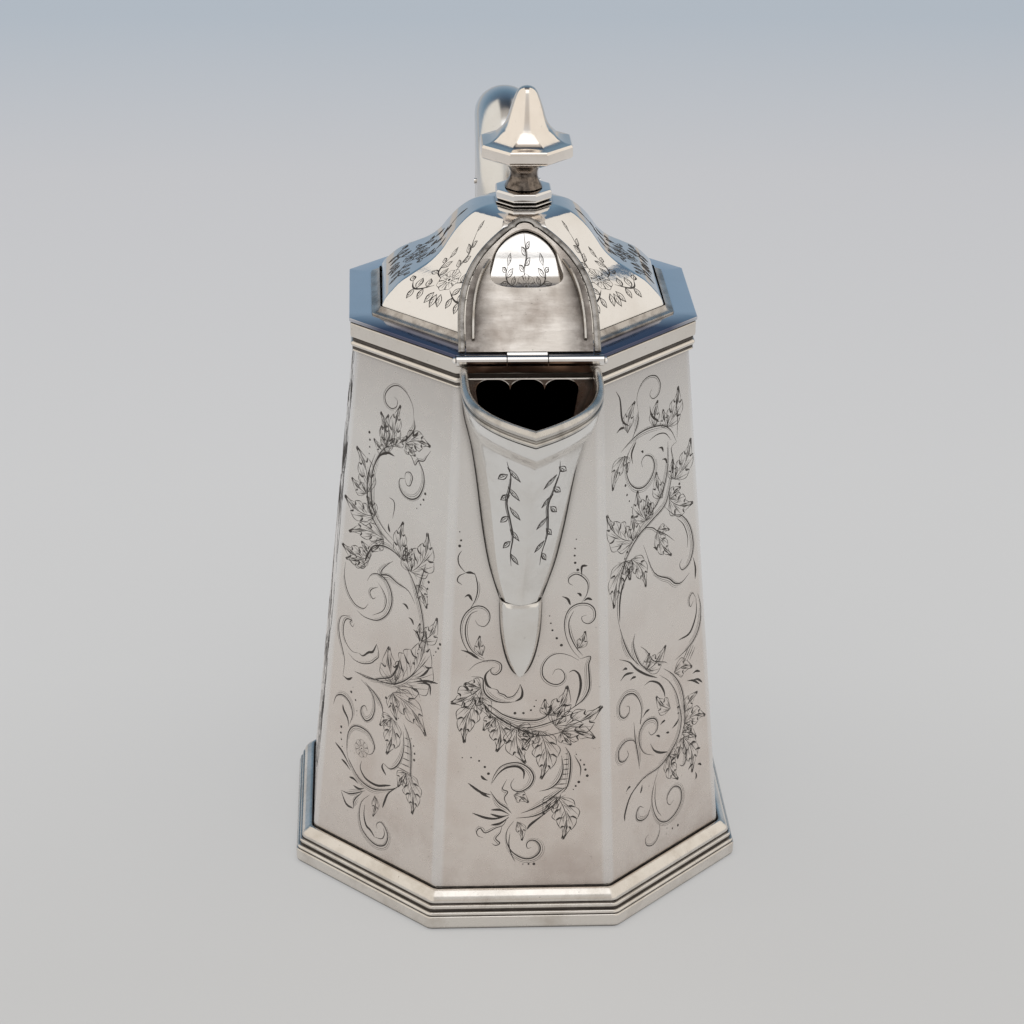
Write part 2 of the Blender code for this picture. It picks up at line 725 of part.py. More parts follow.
def build_finial_cap(lid, low):
    """An octagonal cap whose concave top turns into a round bell. A blind bore takes the stud."""
    octagonal = [(STUD_BORE, low), (5.6, low), (9.0, low + 1.2), (12.6, low + 3.0), (13.0, low + 3.6)]
    octagonal += [(12.9, low + 6.4), (12.5, low + 6.9), (10.7, low + 7.4), (9.1, low + 8.4), (8.0, low + 9.6)]
    rings = [octagon_ring(half, z, min(0.5, 0.3 * half), 2) for half, z in octagonal]
    bell = [(7.2, 229.6), (6.2, 231.2), (5.5, 233.0), (4.8, 235.4), (3.5, 239.2)]
    bell += [(2.6, 240.9), (1.6, 241.7), (0.6, 242.0)]
    for radius, z in bell:
        rings.append(octagon_ring(radius, z, 0.98 * radius, 2))
    bore_top = octagon_ring(STUD_BORE, STUD_TOP + 2 * GAP, 0.5, 2)
    points, faces = loft([bore_top] + rings)
    add_finial_piece("finial_cap", (points, faces), finish("cap_silver", BRIGHT_SILVER, 0.1), lid)


def build_finial_fixing(lid):
    """A stud through the dome with a nut on the washer plate inside."""
    stud = rod((0.0, 0.0, STUD_LOW), (0.0, 0.0, STUD_TOP), STUD_RADIUS)
    add_finial_piece("finial_stud", stud, finish("stud_silver", SILVER, 0.35), lid)
    nut_top = DOME_PROFILE[-1][1] - DOME_WALL - GAP
    nut = [(STUD_BORE, nut_top - 2.4), (4.0, nut_top - 2.4), (4.0, nut_top), (STUD_BORE, nut_top)]
    rings = []
    for radius, z in nut:
        ring = []
        for corner in range(12):
            angle = 2 * math.pi * corner / 12
            side = math.cos(math.pi / 6) / math.cos((angle + math.pi / 6) % (math.pi / 3) - math.pi / 6)
            reach = radius * (side if radius > STUD_BORE else 1.0)
            ring.append((reach * math.cos(angle), reach * math.sin(angle), z))
        rings.append(ring)
    add_finial_piece("finial_nut", loft(rings, closed=True), finish("nut_silver", SILVER, 0.35), lid)


# ---------------------------------------------------------------- flap


def flap_half_width(s, inset=0.0):
    """Half width of the flap at a distance s from its hinge, with its tip rounded off."""
    length = FLAP_LENGTH - 1.15 * inset
    width = arch_half_width(s, FLAP_HALF_WIDTH - inset, length + 0.9)
    tip_radius = max(3.6 - 0.8 * inset, 0.8)
    if s > length - tip_radius:
        rounded = math.sqrt(max(tip_radius**2 - (s - length + tip_radius) ** 2, 0.0))
        width = min(width, 1.35 * rounded)
    return width


def flap_outline(inset, start, steps=20):
    """(x, s) points from the left end round the tip to the right end."""
    length = FLAP_LENGTH - 1.15 * inset
    side = []
    for step in range(steps):
        s = start + (length - start) * math.sin(0.5 * math.pi * step / steps)
        side.append((flap_half_width(s, inset), s))
    left = [(-x, s) for x, s in side]
    return left + [(0.0, length)] + side[::-1]


def flap_slab(outline, low, high):
    """Flap points lie in its own frame: s runs along -Y from the hinge and heights along +Z."""
    return ladder_loft([[(x, -s, low) for x, s in outline], [(x, -s, high) for x, s in outline]])


def window_outline(steps=12):
    """(x, s) points round the pointed window, whose foot is flat with rounded corners."""
    widest = WINDOW_START + 5.0
    right = []
    for step in range(1, steps + 1):
        share = math.sin(0.5 * math.pi * step / steps)
        s = widest - 5.0 * share
        right.append((WINDOW_HALF_WIDTH * (1 - share**3) ** (1 / 3), s))
    right = [(0.6 * WINDOW_HALF_WIDTH, WINDOW_START)] + right[:-1][::-1]
    right.append((WINDOW_HALF_WIDTH, widest))
    for step in range(1, steps):
        share = math.sin(0.5 * math.pi * step / steps)
        s = widest + (WINDOW_END - widest) * share
        right.append((WINDOW_HALF_WIDTH * (1 - share**2) ** 0.6, s))
    return [(-x, s) for x, s in right] + [(0.0, WINDOW_END)] + right[::-1]


def build_flap(flap):
    half = FLAP_HALF_THICKNESS
    plate = flap_slab(flap_outline(FLAP_FRAME_WIDTH + GAP, FLAP_START), -half, half)
    plate_obj = add_object("flap_plate", *plate, finish("flap_silver", SILVER, 0.45), flap)
    cut(plate_obj, *flap_slab(window_outline(), -3.0, 3.0))
    build_flap_frame(flap, half)
    build_tongues(flap, half)
    build_flap_knuckle(flap, half)


def build_flap_frame(flap, half):
    """A raised border round the flap: outer wall, top, inner wall and underside of one moulding."""
    outer = flap_outline(0.0, FLAP_START)
    inner = flap_outline(FLAP_FRAME_WIDTH, FLAP_START)
    section = [(0.0, -0.3), (0.0, 0.1), (0.25, half), (1.0, half), (1.0, -0.75), (0.3, -0.75)]
    rings = []
    for (ox, os), (ix, i_s) in zip(outer, inner):
        rings.append([(ox + (ix - ox) * u, -(os + (i_s - os) * u), h) for u, h in section])
    add_object("flap_frame", *loft(rings), finish("frame_silver", DARK_SILVER, 0.45), flap)


def build_tongues(flap, half):
    """Two ribs under the flap that centre it in the mouth when it is shut."""
    for name, sign in (("flap_left_tongue", -1), ("flap_right_tongue", 1)):
        rings = []
        for step in range(15):
            share = step / 14
            s = TONGUE_START + (TONGUE_END - TONGUE_START) * share
            height = TONGUE_HEIGHT * min(1.0, 0.35 + 4 * min(share, 1 - share))
            ring = []
            low = -half - GAP
            width = TONGUE_WIDTH
            shape = ((0.0, low), (width, low), (0.8 * width, low - height), (0.2 * width, low - height))
            for across, h in shape:
                x = TONGUE_HALF_WIDTH * (1 - (s / TONGUE_REACH) ** 3.6) - across
                ring.append((sign * x, -s, h))
            rings.append(ring)
        add_object(name, *loft(rings), finish(f"{name}_silver", BRIGHT_SILVER, 0.2), flap)


def build_flap_knuckle(flap, half):
    outline = knuckle_outline(FLAP_HINGE_RADIUS, FLAP_START - GAP, -half, half)
    add_knuckle(
        "flap_knuckle",
        FLAP_KNUCKLE_LEFT,
        FLAP_KNUCKLE_RIGHT,
        outline,
        lambda a, b: (-a, b),
        FLAP_PIN_RADIUS + GAP,
        finish("flap_knuckle_silver", SILVER, 0.25),
        flap,
    )


# ---------------------------------------------------------------- handle

# The handle's middle line in its own plane: distance behind the body's axis and height, then the
# half-width across and half-thickness of its eight-sided section.
HANDLE_LINE = [
    (51.0, 152.9, 8.0, 9.5),
    (57.5, 156.0, 7.6, 8.2),
    (65.0, 162.0, 8.2, 7.8),
    (71.5, 171.0, 9.2, 8.4),
    (75.5, 180.5, 9.9, 8.9),
    (78.5, 190.0, 10.1, 9.3),
    (84.0, 199.0, 10.1, 9.5),
    (94.0, 204.6, 10.0, 9.5),
    (105.0, 202.2, 9.6, 9.2),
    (113.5, 193.5, 9.1, 8.9),
    (118.5, 179.5, 8.7, 8.6),
    (120.0, 160.0, 8.5, 8.4),
    (118.5, 138.0, 8.3, 8.2),
    (113.5, 115.5, 8.1, 8.0),
    (105.5, 94.5, 7.8, 7.7),
    (95.0, 77.0, 7.4, 7.2),
    (84.0, 65.0, 7.0, 6.8),
    (74.0, 57.5, 6.8, 7.2),
    (62.6, 53.5, 7.6, 9.2),
]
HANDLE_SIDES = 12
UPPER_INSULATOR = (3.5, 3.95)  # stretches along HANDLE_LINE, in points
LOWER_INSULATOR = (15.5, 15.9)
SPIGOT_LENGTH = 1.1  # also in points along the line
SPIGOT_SHRINK = 0.45  # a spigot's size against the tube that it enters


def handle_table():
    return [(float(i), *row) for i, row in enumerate(HANDLE_LINE)]


def handle_section(t, scale=1.0, sides=HANDLE_SIDES):
    """A ring of the handle at a place along its line, square to the line."""
    table = handle_table()
    y, z, across, thick = (smooth_lookup(table, t, column) for column in (1, 2, 3, 4))
    ahead, behind = min(t + 0.02, len(HANDLE_LINE) - 1.0), max(t - 0.02, 0.0)
    dy = smooth_lookup(table, ahead, 1) - smooth_lookup(table, behind, 1)
    dz = smooth_lookup(table, ahead, 2) - smooth_lookup(table, behind, 2)
    size = math.hypot(dy, dz)
    normal = (-dz / size, dy / size)
    ring = []
    corner = 1 / math.cos(math.pi / sides)
    for i in range(sides):
        angle = 2 * math.pi * (i + 0.5) / sides
        side = across * scale * corner * math.cos(angle)
        out = thick * scale * corner * math.sin(angle)
        ring.append((side, y + normal[0] * out, z + normal[1] * out))
    return ring


def root_ring(t, gap):
    """The handle's end ring laid flat on the body's back face."""
    table = handle_table()
    y, z, across, thick = (smooth_lookup(table, t, column) for column in (1, 2, 3, 4))
    ring = []
    corner = 1 / math.cos(math.pi / HANDLE_SIDES)
    direction = 1.0 if t < 1 else -1.0
    for i in range(HANDLE_SIDES):
        angle = 2 * math.pi * (i + 0.5) / HANDLE_SIDES
        x = across * corner * math.cos(angle)
        height = z + direction * thick * corner * math.sin(angle)
        ring.append((x, body_half_flat(height) + gap, height))
    return ring


def handle_stretch(start, end, steps, scale=1.0):
    return [handle_section(start + (end - start) * i / steps, scale) for i in range(steps + 1)]


def build_handle():
    up_low, up_high = UPPER_INSULATOR
    low_low, low_high = LOWER_INSULATOR
    last = len(HANDLE_LINE) - 1.0
    slit = 0.035  # a solder line's length, in points along the line
    silver = finish("grip_silver", SILVER, 0.22)
    upper = [root_ring(0.0, GAP)] + handle_stretch(0.35, up_low - slit, 9)
    add_object("handle_upper_socket", *loft(upper), finish("upper_socket_silver", SILVER, 0.22))
    grip = handle_stretch(up_high + slit, low_low - slit, 28)
    add_object("handle_grip", *loft(grip), silver)
    lower = handle_stretch(low_high + slit, last - 0.4, 7) + [root_ring(last, GAP)]
    add_object("handle_lower_socket", *loft(lower), finish("lower_socket_silver", SILVER, 0.22))
    for name, (start, end), pins in (
        ("handle_upper_insulator", UPPER_INSULATOR, ("upper_socket_pin", "upper_grip_pin")),
        ("handle_lower_insulator", LOWER_INSULATOR, ("lower_grip_pin", "lower_socket_pin")),
    ):
        build_insulator(name, start, end, slit, pins)


def build_insulator(name, start, end, slit, pins):
    """An ivory block with a spigot at each end, which enters the silver tube and takes a cross pin."""
    spigot = SPIGOT_LENGTH
    rings = handle_stretch(start - spigot, start - slit, 4, SPIGOT_SHRINK)
    rings += handle_stretch(start, end, 2, 0.98)
    rings += handle_stretch(end + slit, end + spigot, 4, SPIGOT_SHRINK)
    block = add_object(name, *loft(rings), finish(f"{name}_ivory", IVORY, 0.4, 0.0))
    reach = spigot + 0.15
    for pin_name, place, tube, stretch in zip(
        pins,
        (start - 0.8 * spigot, end + 0.8 * spigot),
        pin_tubes(start),
        ((start - reach, start), (end, end + reach)),
    ):
        tube_object = bpy.data.objects[tube]
        cut(tube_object, *loft(handle_stretch(*stretch, 5, SPIGOT_SHRINK + 0.1)))
        ring = handle_section(place)
        centre = [sum(point[k] for point in ring) / len(ring) for k in range(3)]
        half = smooth_lookup(handle_table(), place, 3) + 0.6
        for target in (block, tube_object):
            cut(target, *pin_shape(centre, half + 3.0, PIN_BORE))
        add_object(pin_name, *pin_shape(centre, half, PIN_RADIUS), finish(f"{pin_name}_silver", BRIGHT_SILVER, 0.25))


def pin_shape(centre, half, radius):
    """A cylinder along X through the handle's middle line."""
    x, y, z = centre
    return rod((x - half, y, z), (x + half, y, z), radius, 12)


def pin_tubes(start):
    if start < 10:
        return ("handle_upper_socket", "handle_grip")
    return ("handle_grip", "handle_lower_socket")


# ---------------------------------------------------------------- assembly


def build():
    clear_scene()
    build_foot()
    build_body_shell()
    build_bottom_plate()
    build_rim_band()
    build_spout_shell()
    build_spout_drop()
    build_spout_lip()
    build_handle()
    build_pot_knuckles()
    lid = add_axis("lid_axis", LID_HINGE_Y, LID_HINGE_Z)
    build_flange(lid)
    build_bezel(lid)
    build_dome_step(lid)
    build_dome(lid)
    build_finial(lid)
    build_finial_fixing(lid)
    build_lid_knuckle(lid)
    build_flap_hinge_seat(lid)
    shut_to_open = math.pi - FLAP_OPEN_ANGLE
    flap = add_axis(
        "flap_axis",
        FLAP_HINGE_Y - LID_HINGE_Y,
        FLAP_HINGE_Z - LID_HINGE_Z,
        -shut_to_open,
    )
    flap.parent = lid
    build_flap(flap)


build()
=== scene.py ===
"""Looks of the octagonal silver coffee pot: fine surfaces, engraving, materials, studio and camera."""

import json
import math
import random

import bmesh
import bpy
from mathutils import Matrix, Vector


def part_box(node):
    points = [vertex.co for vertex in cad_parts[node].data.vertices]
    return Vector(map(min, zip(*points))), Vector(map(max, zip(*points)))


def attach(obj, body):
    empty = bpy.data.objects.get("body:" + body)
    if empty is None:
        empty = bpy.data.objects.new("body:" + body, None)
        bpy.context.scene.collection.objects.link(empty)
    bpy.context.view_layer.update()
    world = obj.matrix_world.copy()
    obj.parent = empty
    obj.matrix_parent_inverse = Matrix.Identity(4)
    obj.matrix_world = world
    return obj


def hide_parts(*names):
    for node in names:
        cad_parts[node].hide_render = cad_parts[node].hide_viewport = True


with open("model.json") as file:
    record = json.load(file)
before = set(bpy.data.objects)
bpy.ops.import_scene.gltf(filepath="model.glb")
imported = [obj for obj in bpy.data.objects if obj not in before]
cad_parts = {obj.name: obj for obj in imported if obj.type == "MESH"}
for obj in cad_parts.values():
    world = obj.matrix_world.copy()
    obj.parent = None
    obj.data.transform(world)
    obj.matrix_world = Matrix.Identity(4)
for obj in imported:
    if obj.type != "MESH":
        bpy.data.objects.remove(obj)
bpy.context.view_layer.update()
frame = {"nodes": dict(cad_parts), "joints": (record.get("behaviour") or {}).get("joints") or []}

MM = 0.001
GAP = 0.3


def box_mm(node):
    low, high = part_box(node)
    return low / MM, high / MM


def half_flat_near(node, z):
    """Half-flat of an octagonal node, read from its points at the end nearest a height."""
    points = [v.co / MM for v in frame["nodes"][node].data.vertices]
    level = min((abs(p.z - z), p.z) for p in points)[1]
    return max(p.x for p in points if abs(p.z - level) < 0.01)


FOOT_HIGH = box_mm("foot_moulding")[1]
RIM_LOW, RIM_HIGH = box_mm("rim_band")
SHELL_LOW, SHELL_HIGH = box_mm("body_shell")
FLANGE_LOW, FLANGE_HIGH = box_mm("lid_flange")
BODY_LOW_HALF = half_flat_near("body_shell", SHELL_LOW.z)
BODY_HIGH_HALF = half_flat_near("body_shell", SHELL_HIGH.z)
HINGES = {joint["name"]: Vector(joint["pos_m"]) / MM for joint in frame["joints"]}
FLAP_Y, FLAP_Z = HINGES["flap_hinge"].y, HINGES["flap_hinge"].z

# ---------------------------------------------------------------- materials


def node(tree, kind, **settings):
    made = tree.nodes.new(kind)
    for key, value in settings.items():
        if key in made.inputs:
            made.inputs[key].default_value = value
        else:
            setattr(made, key, value)
    return made


def feed(tree, socket, value):
    """Links a socket to an input, or sets the input to a plain number or colour."""
    if isinstance(value, bpy.types.NodeSocket):
        tree.links.new(value, socket)
    else:
        socket.default_value = value if isinstance(value, float) else (*value, 1.0)


def mix_colour(tree, factor, first, second, blend="MIX"):
    """A colour mix node. Each argument is a socket or a plain value."""
    made = tree.nodes.new("ShaderNodeMix")
    made.data_type = "RGBA"
    made.blend_type = blend
    for index, value in ((0, factor), (6, first), (7, second)):
        feed(tree, made.inputs[index], value)
    return made.outputs[2]


def maths(tree, operation, first, second=0.0):
    made = tree.nodes.new("ShaderNodeMath")
    made.operation = operation
    feed(tree, made.inputs[0], first)
    feed(tree, made.inputs[1], second)
    return made.outputs[0]


def ramp(tree, value, low, high, out_low=0.0, out_high=1.0):
    made = tree.nodes.new("ShaderNodeMapRange")
    made.clamp = True
    tree.links.new(value, made.inputs[0])
    for index, number in zip((1, 2, 3, 4), (low, high, out_low, out_high)):
        made.inputs[index].default_value = number
    return made.outputs[0]


def colour_stops(tree, value, stops):
    """The colour at a value between 0 and 1, from (place, colour) stops."""
    made = node(tree, "ShaderNodeValToRGB")
    elements = made.color_ramp.elements
    while len(elements) < len(stops):
        elements.new(0.5)
    for element, (place, colour) in zip(elements, stops):
        element.position = place
        element.color = (*colour, 1.0)
    tree.links.new(value, made.inputs[0])
    return made.outputs[0]


def roughen(tree, shader, height, strength, distance):
    bump = node(tree, "ShaderNodeBump", Strength=strength, Distance=distance)
    tree.links.new(height, bump.inputs["Height"])
    tree.links.new(bump.outputs[0], shader.inputs["Normal"])


def noise(tree, coords, scale, detail=4.0, rough=0.55, stretch=(1.0, 1.0, 1.0)):
    """Noise in object space; scale is in features per metre."""
    mapping = node(tree, "ShaderNodeMapping")
    mapping.inputs["Scale"].default_value = stretch
    tree.links.new(coords, mapping.inputs["Vector"])
    made = node(tree, "ShaderNodeTexNoise", Scale=scale, Detail=detail, Roughness=rough)
    tree.links.new(mapping.outputs[0], made.inputs["Vector"])
    return made.outputs["Fac"]


FACET = math.radians(45.0)


def body_tones(tree, position, colour, cloud, cloud_high):
    """Cooler higher up, painted highlights on the corners, painted shade at the top and dark patches at the bottom."""
    angle = maths(tree, "ARCTAN2", position.outputs[1], position.outputs[0])
    around = maths(tree, "ADD", maths(tree, "DIVIDE", angle, FACET), 8.5)
    from_middle = maths(tree, "ABSOLUTE", maths(tree, "SUBTRACT", maths(tree, "FRACT", around), 0.5))
    height = position.outputs[2]
    colour = mix_colour(tree, ramp(tree, height, 0.06, 0.13, 0.0, 0.75), colour, (0.85, 0.835, 0.81))
    # Painted highlight: paler colour along the rounded corners between the facets.
    colour = mix_colour(tree, ramp(tree, from_middle, 0.458, 0.476, 0.0, 0.5), colour, (0.93, 0.92, 0.91))
    # Painted shade: darker towards the top of the body, under the rim.
    high = ramp(tree, height, 0.145, 0.170, 0.0, 0.30)
    low = ramp(tree, height, 0.034, 0.011, 0.0, 0.34)
    patch = maths(tree, "MULTIPLY", low, ramp(tree, cloud, 0.0, cloud_high, 0.25, 1.0))
    return mix_colour(tree, maths(tree, "ADD", high, patch), colour, (0.30, 0.25, 0.23))


def darkened_sides(tree, coords, position, colour, reach):
    """Patchy tarnish that grows towards both sides of a piece, over a reach of |x| in metres."""
    across = ramp(tree, maths(tree, "ABSOLUTE", position.outputs[0]), *reach, 0.0, 0.85)
    patches = ramp(tree, noise(tree, coords, 130.0, 5.0, 0.7), 0.35, 0.6, 0.5, 1.0)
    return mix_colour(tree, maths(tree, "MULTIPLY", across, patches), colour, (0.13, 0.11, 0.10))


def silver(
    name,
    tint=(0.86, 0.83, 0.79),
    rough=0.16,
    stain=(0.62, 0.55, 0.47),
    stain_amount=0.35,
    stain_scale=45.0,
    crevice_reach=0.0022,
    crevice_low=0.25,
    crevice_high=0.80,
    specks=0.35,
    grain=0.03,
    brushed=(1.0, 1.0, 1.0),
    # Painted highlights on the body's corners and painted shade at its top.
    corner_highlights_and_shade=False,
    dark_sides=None,
    front_painted_reflection=None,
):
    """Silver with tarnish clouds, fine specks and scratches, and dark oxide where surfaces meet."""
    material = bpy.data.materials.new(name)
    material.use_nodes = True
    tree = material.node_tree
    shader = tree.nodes["Principled BSDF"]
    shader.inputs["Metallic"].default_value = 1.0
    coords = node(tree, "ShaderNodeTexCoord").outputs["Object"]
    position = node(tree, "ShaderNodeSeparateXYZ")
    tree.links.new(coords, position.inputs[0])
    cloud = ramp(tree, noise(tree, coords, stain_scale, 6.0, 0.6), 0.45, 0.72, 0.0, stain_amount)
    colour = mix_colour(tree, cloud, tint, tuple(t * s for t, s in zip(tint, stain)))
    speck = ramp(tree, noise(tree, coords, 1000.0, 2.0, 0.6), 0.70, 0.77, 0.0, specks)
    colour = mix_colour(tree, speck, colour, (0.20, 0.18, 0.16))
    # Painted highlights on the corners and painted shade at the top of the body.
    if corner_highlights_and_shade:
        colour = body_tones(tree, position, colour, cloud, stain_amount)
    if dark_sides:
        colour = darkened_sides(tree, coords, position, colour, dark_sides)
    # Painted reflection: a dark navy tone across the front of the piece.
    if front_painted_reflection:
        front = ramp(tree, position.outputs[1], *front_painted_reflection, 1.0, 0.0)
        colour = mix_colour(tree, front, colour, (0.11, 0.12, 0.19))
    occlusion = node(tree, "ShaderNodeAmbientOcclusion", Distance=crevice_reach)
    occlusion.samples = 8
    dark = ramp(tree, occlusion.outputs["AO"], crevice_low, crevice_high, 1.0, 0.0)
    colour = mix_colour(tree, dark, colour, (0.075, 0.066, 0.058))
    tree.links.new(colour, shader.inputs["Base Color"])
    wear = noise(tree, coords, 300.0, 5.0, 0.6, brushed)
    varied = ramp(tree, wear, 0.3, 0.7, rough * 0.75, rough * 1.35)
    varied = maths(tree, "ADD", varied, maths(tree, "MULTIPLY", dark, 0.25))
    tree.links.new(varied, shader.inputs["Roughness"])
    roughen(tree, shader, wear, grain, 0.0004)
    return material


def plain(name, low, high, rough, scale=120.0, metallic=0.0, grain=0.2):
    """A two-tone clouded material, for oxide, ivory and the engraved lines."""
    material = bpy.data.materials.new(name)
    material.use_nodes = True
    tree = material.node_tree
    shader = tree.nodes["Principled BSDF"]
    shader.inputs["Metallic"].default_value = metallic
    shader.inputs["Roughness"].default_value = rough
    coords = node(tree, "ShaderNodeTexCoord").outputs["Object"]
    cloud = noise(tree, coords, scale, 5.0, 0.6)
    tree.links.new(mix_colour(tree, cloud, low, high), shader.inputs["Base Color"])
    roughen(tree, shader, noise(tree, coords, scale * 8), grain, 0.0003)
    return material


BODY_SILVER = silver(
    "body_silver", tint=(0.83, 0.755, 0.695), rough=0.24, stain=(0.72, 0.64, 0.60), stain_amount=0.45,
    # The body takes painted highlights on its corners and painted shade at its top.
    corner_highlights_and_shade=True, specks=0.55, crevice_reach=0.003, crevice_high=0.9,
)
SPOUT_SILVER = silver(
    "spout_silver", tint=(0.88, 0.86, 0.83), rough=0.2, stain_amount=0.25, crevice_reach=0.0035, crevice_high=0.9,
)
MOULDING_SILVER = silver(
    "moulding_silver", tint=(0.84, 0.79, 0.73), rough=0.15, crevice_reach=0.0016, crevice_low=0.45,
    crevice_high=0.92, specks=0.5,
)
FOOT_SILVER = silver(
    "foot_silver", tint=(0.80, 0.755, 0.70), rough=0.21, stain=(0.66, 0.62, 0.58), stain_amount=0.6,
    stain_scale=110.0, crevice_reach=0.0018, crevice_low=0.45, crevice_high=0.95, specks=0.6, grain=0.08,
)
BRIGHT_SILVER = silver("bright_silver", tint=(0.90, 0.875, 0.85), rough=0.085, stain_amount=0.22, specks=0.25)
CAP_SILVER = silver("cap_silver", tint=(0.95, 0.88, 0.81), rough=0.14, stain_amount=0.3, specks=0.5)
DOME_SILVER = silver("dome_silver", tint=(0.90, 0.875, 0.85), rough=0.06, stain_amount=0.3, specks=0.3, grain=0.06)
STEP_SILVER = silver(
    "step_silver", tint=(0.60, 0.56, 0.52), rough=0.3, stain=(0.3, 0.27, 0.25), stain_amount=0.9,
    stain_scale=160.0, crevice_reach=0.003,
)
FLANGE_SILVER = silver(
    # The flange's front takes a painted reflection in dark navy.
    "flange_silver", tint=(0.84, 0.85, 0.88), rough=0.10, stain_amount=0.1, specks=0.2, front_painted_reflection=(-0.030, -0.017),
)
FLAP_SILVER = silver(
    "flap_silver", tint=(0.80, 0.75, 0.70), rough=0.36, stain=(0.42, 0.37, 0.34), stain_amount=0.9,
    stain_scale=60.0, specks=0.6, grain=0.3, brushed=(0.3, 1.0, 1.0), crevice_reach=0.005, crevice_high=0.95,
    dark_sides=(0.0085, 0.0145),
)
STEM_SILVER = silver(
    "stem_silver", tint=(0.24, 0.20, 0.17), rough=0.18, stain=(0.06, 0.05, 0.05),
    stain_amount=1.0, stain_scale=480.0, crevice_reach=0.004,
)
FRAME_SILVER = silver(
    "frame_silver", tint=(0.38, 0.36, 0.34), rough=0.24, stain=(0.10, 0.09, 0.08),
    stain_amount=1.0, stain_scale=260.0, crevice_reach=0.002, crevice_high=0.95,
)
INSIDE_SILVER = silver(
    "inside_silver", tint=(0.24, 0.155, 0.115), rough=0.32, stain=(0.2, 0.17, 0.15),
    stain_amount=0.9, stain_scale=120.0,
)
LIP_SILVER = silver(
    "lip_silver", tint=(0.66, 0.63, 0.59), rough=0.24, stain=(0.38, 0.36, 0.34), stain_amount=0.8,
    stain_scale=110.0, crevice_reach=0.0018, crevice_low=0.45, crevice_high=0.95,
)
TONGUE_SILVER = silver("tongue_silver", tint=(0.55, 0.52, 0.48), rough=0.3, stain_amount=0.6, stain_scale=160.0)
# Painted shade: near-black silver for the unlit inside of the body, seen through the spout's opening.
HOLLOW_PAINTED_SHADE = silver(
    "hollow_painted_shade", tint=(0.035, 0.028, 0.024), rough=0.6, stain=(0.4, 0.4, 0.4), stain_amount=0.8,
)
HANDLE_SILVER = silver(
    "handle_silver", tint=(0.80, 0.79, 0.77), rough=0.17, stain_amount=0.2, brushed=(1.0, 0.12, 0.12),
)
OXIDE = plain("oxide", (0.045, 0.038, 0.034), (0.16, 0.14, 0.125), 0.42, 300.0, 0.75)
IVORY = plain("ivory", (0.70, 0.60, 0.42), (0.82, 0.74, 0.58), 0.35, 160.0)
ENGRAVED = plain("engraved", (0.016, 0.013, 0.012), (0.055, 0.046, 0.040), 0.6, 700.0, 0.0)

# ---------------------------------------------------------------- meshes


def piece(name, shape, material, body, replaced=(), crease=32.0):
    """A closed mesh from points in millimetres, riding on a body."""
    points, faces = shape
    mesh = bpy.data.meshes.new(name)
    mesh.from_pydata([Vector(p) * MM for p in points], [], faces)
    work = bmesh.new()
    work.from_mesh(mesh)
    bmesh.ops.remove_doubles(work, verts=work.verts, dist=1e-7)
    bmesh.ops.recalc_face_normals(work, faces=work.faces)
    work.to_mesh(mesh)
    work.free()
    mesh.shade_smooth()
    mesh.set_sharp_from_angle(angle=math.radians(crease))
    mesh.materials.append(material)
    obj = bpy.data.objects.new(name, mesh)
    bpy.context.scene.collection.objects.link(obj)
    if body:
        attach(obj, body)
    if replaced:
        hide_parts(*replaced)
    return obj


def cut_away(target, shape, crease=32.0):
    """Cuts a shape out of a piece and keeps the result as its mesh."""
    cutter = piece("cutter", shape, target.data.materials[0], None)
    modifier = target.modifiers.new("cut", "BOOLEAN")
    modifier.object = cutter
    modifier.solver = "EXACT"
    graph = bpy.context.evaluated_depsgraph_get()
    result = bpy.data.meshes.new_from_object(target.evaluated_get(graph))
    target.modifiers.clear()
    target.data = result
    bpy.data.objects.remove(cutter)
    result.shade_smooth()
    result.set_sharp_from_angle(angle=math.radians(crease))


def loft(rings, closed=False):
    """Points and faces joining rings of equal length. A closed loft joins its last ring to its first."""
    count = len(rings[0])
    points = [point for ring in rings for point in ring]
    faces = []
    for row in range(len(rings) if closed else len(rings) - 1):
        low = row * count
        high = ((row + 1) % len(rings)) * count
        for i in range(count):
            j = (i + 1) % count
            faces.append((low + i, low + j, high + j, high + i))
    if not closed:
        faces.append(tuple(reversed(range(count))))
        faces.append(tuple(range(len(points) - count, len(points))))
    return points, faces


def ladder_loft(rings):
    """A loft of mirror-symmetric rings whose end caps are ladders of quads across the middle."""
    points, faces = loft(rings)
    faces = faces[:-2]
    count = len(rings[0])
    for start, flip in ((0, True), (len(points) - count, False)):
        for i in range((count - 1) // 2):
            rung = [start + i, start + i + 1, start + count - 2 - i, start + count - 1 - i]
            rung = list(dict.fromkeys(rung))
            faces.append(tuple(reversed(rung)) if flip else tuple(rung))
    return points, faces


def octagon_ring(half_flat, z, corner_radius, arc_steps=6, x_shift=0.0):
    """An octagon with flats towards X and Y, and rounded corners."""
    corner_radius = min(corner_radius, 0.98 * half_flat)
    reach = (half_flat - corner_radius) / math.cos(math.radians(22.5))
    ring = []
    for corner in range(8):
        middle = math.radians(22.5 + 45 * corner)
        for step in range(arc_steps + 1):
            angle = math.radians(45 * corner + 45 * step / arc_steps)
            x = reach * math.cos(middle) + corner_radius * math.cos(angle)
            y = reach * math.sin(middle) + corner_radius * math.sin(angle)
            ring.append((x + x_shift, y, z))
    return ring


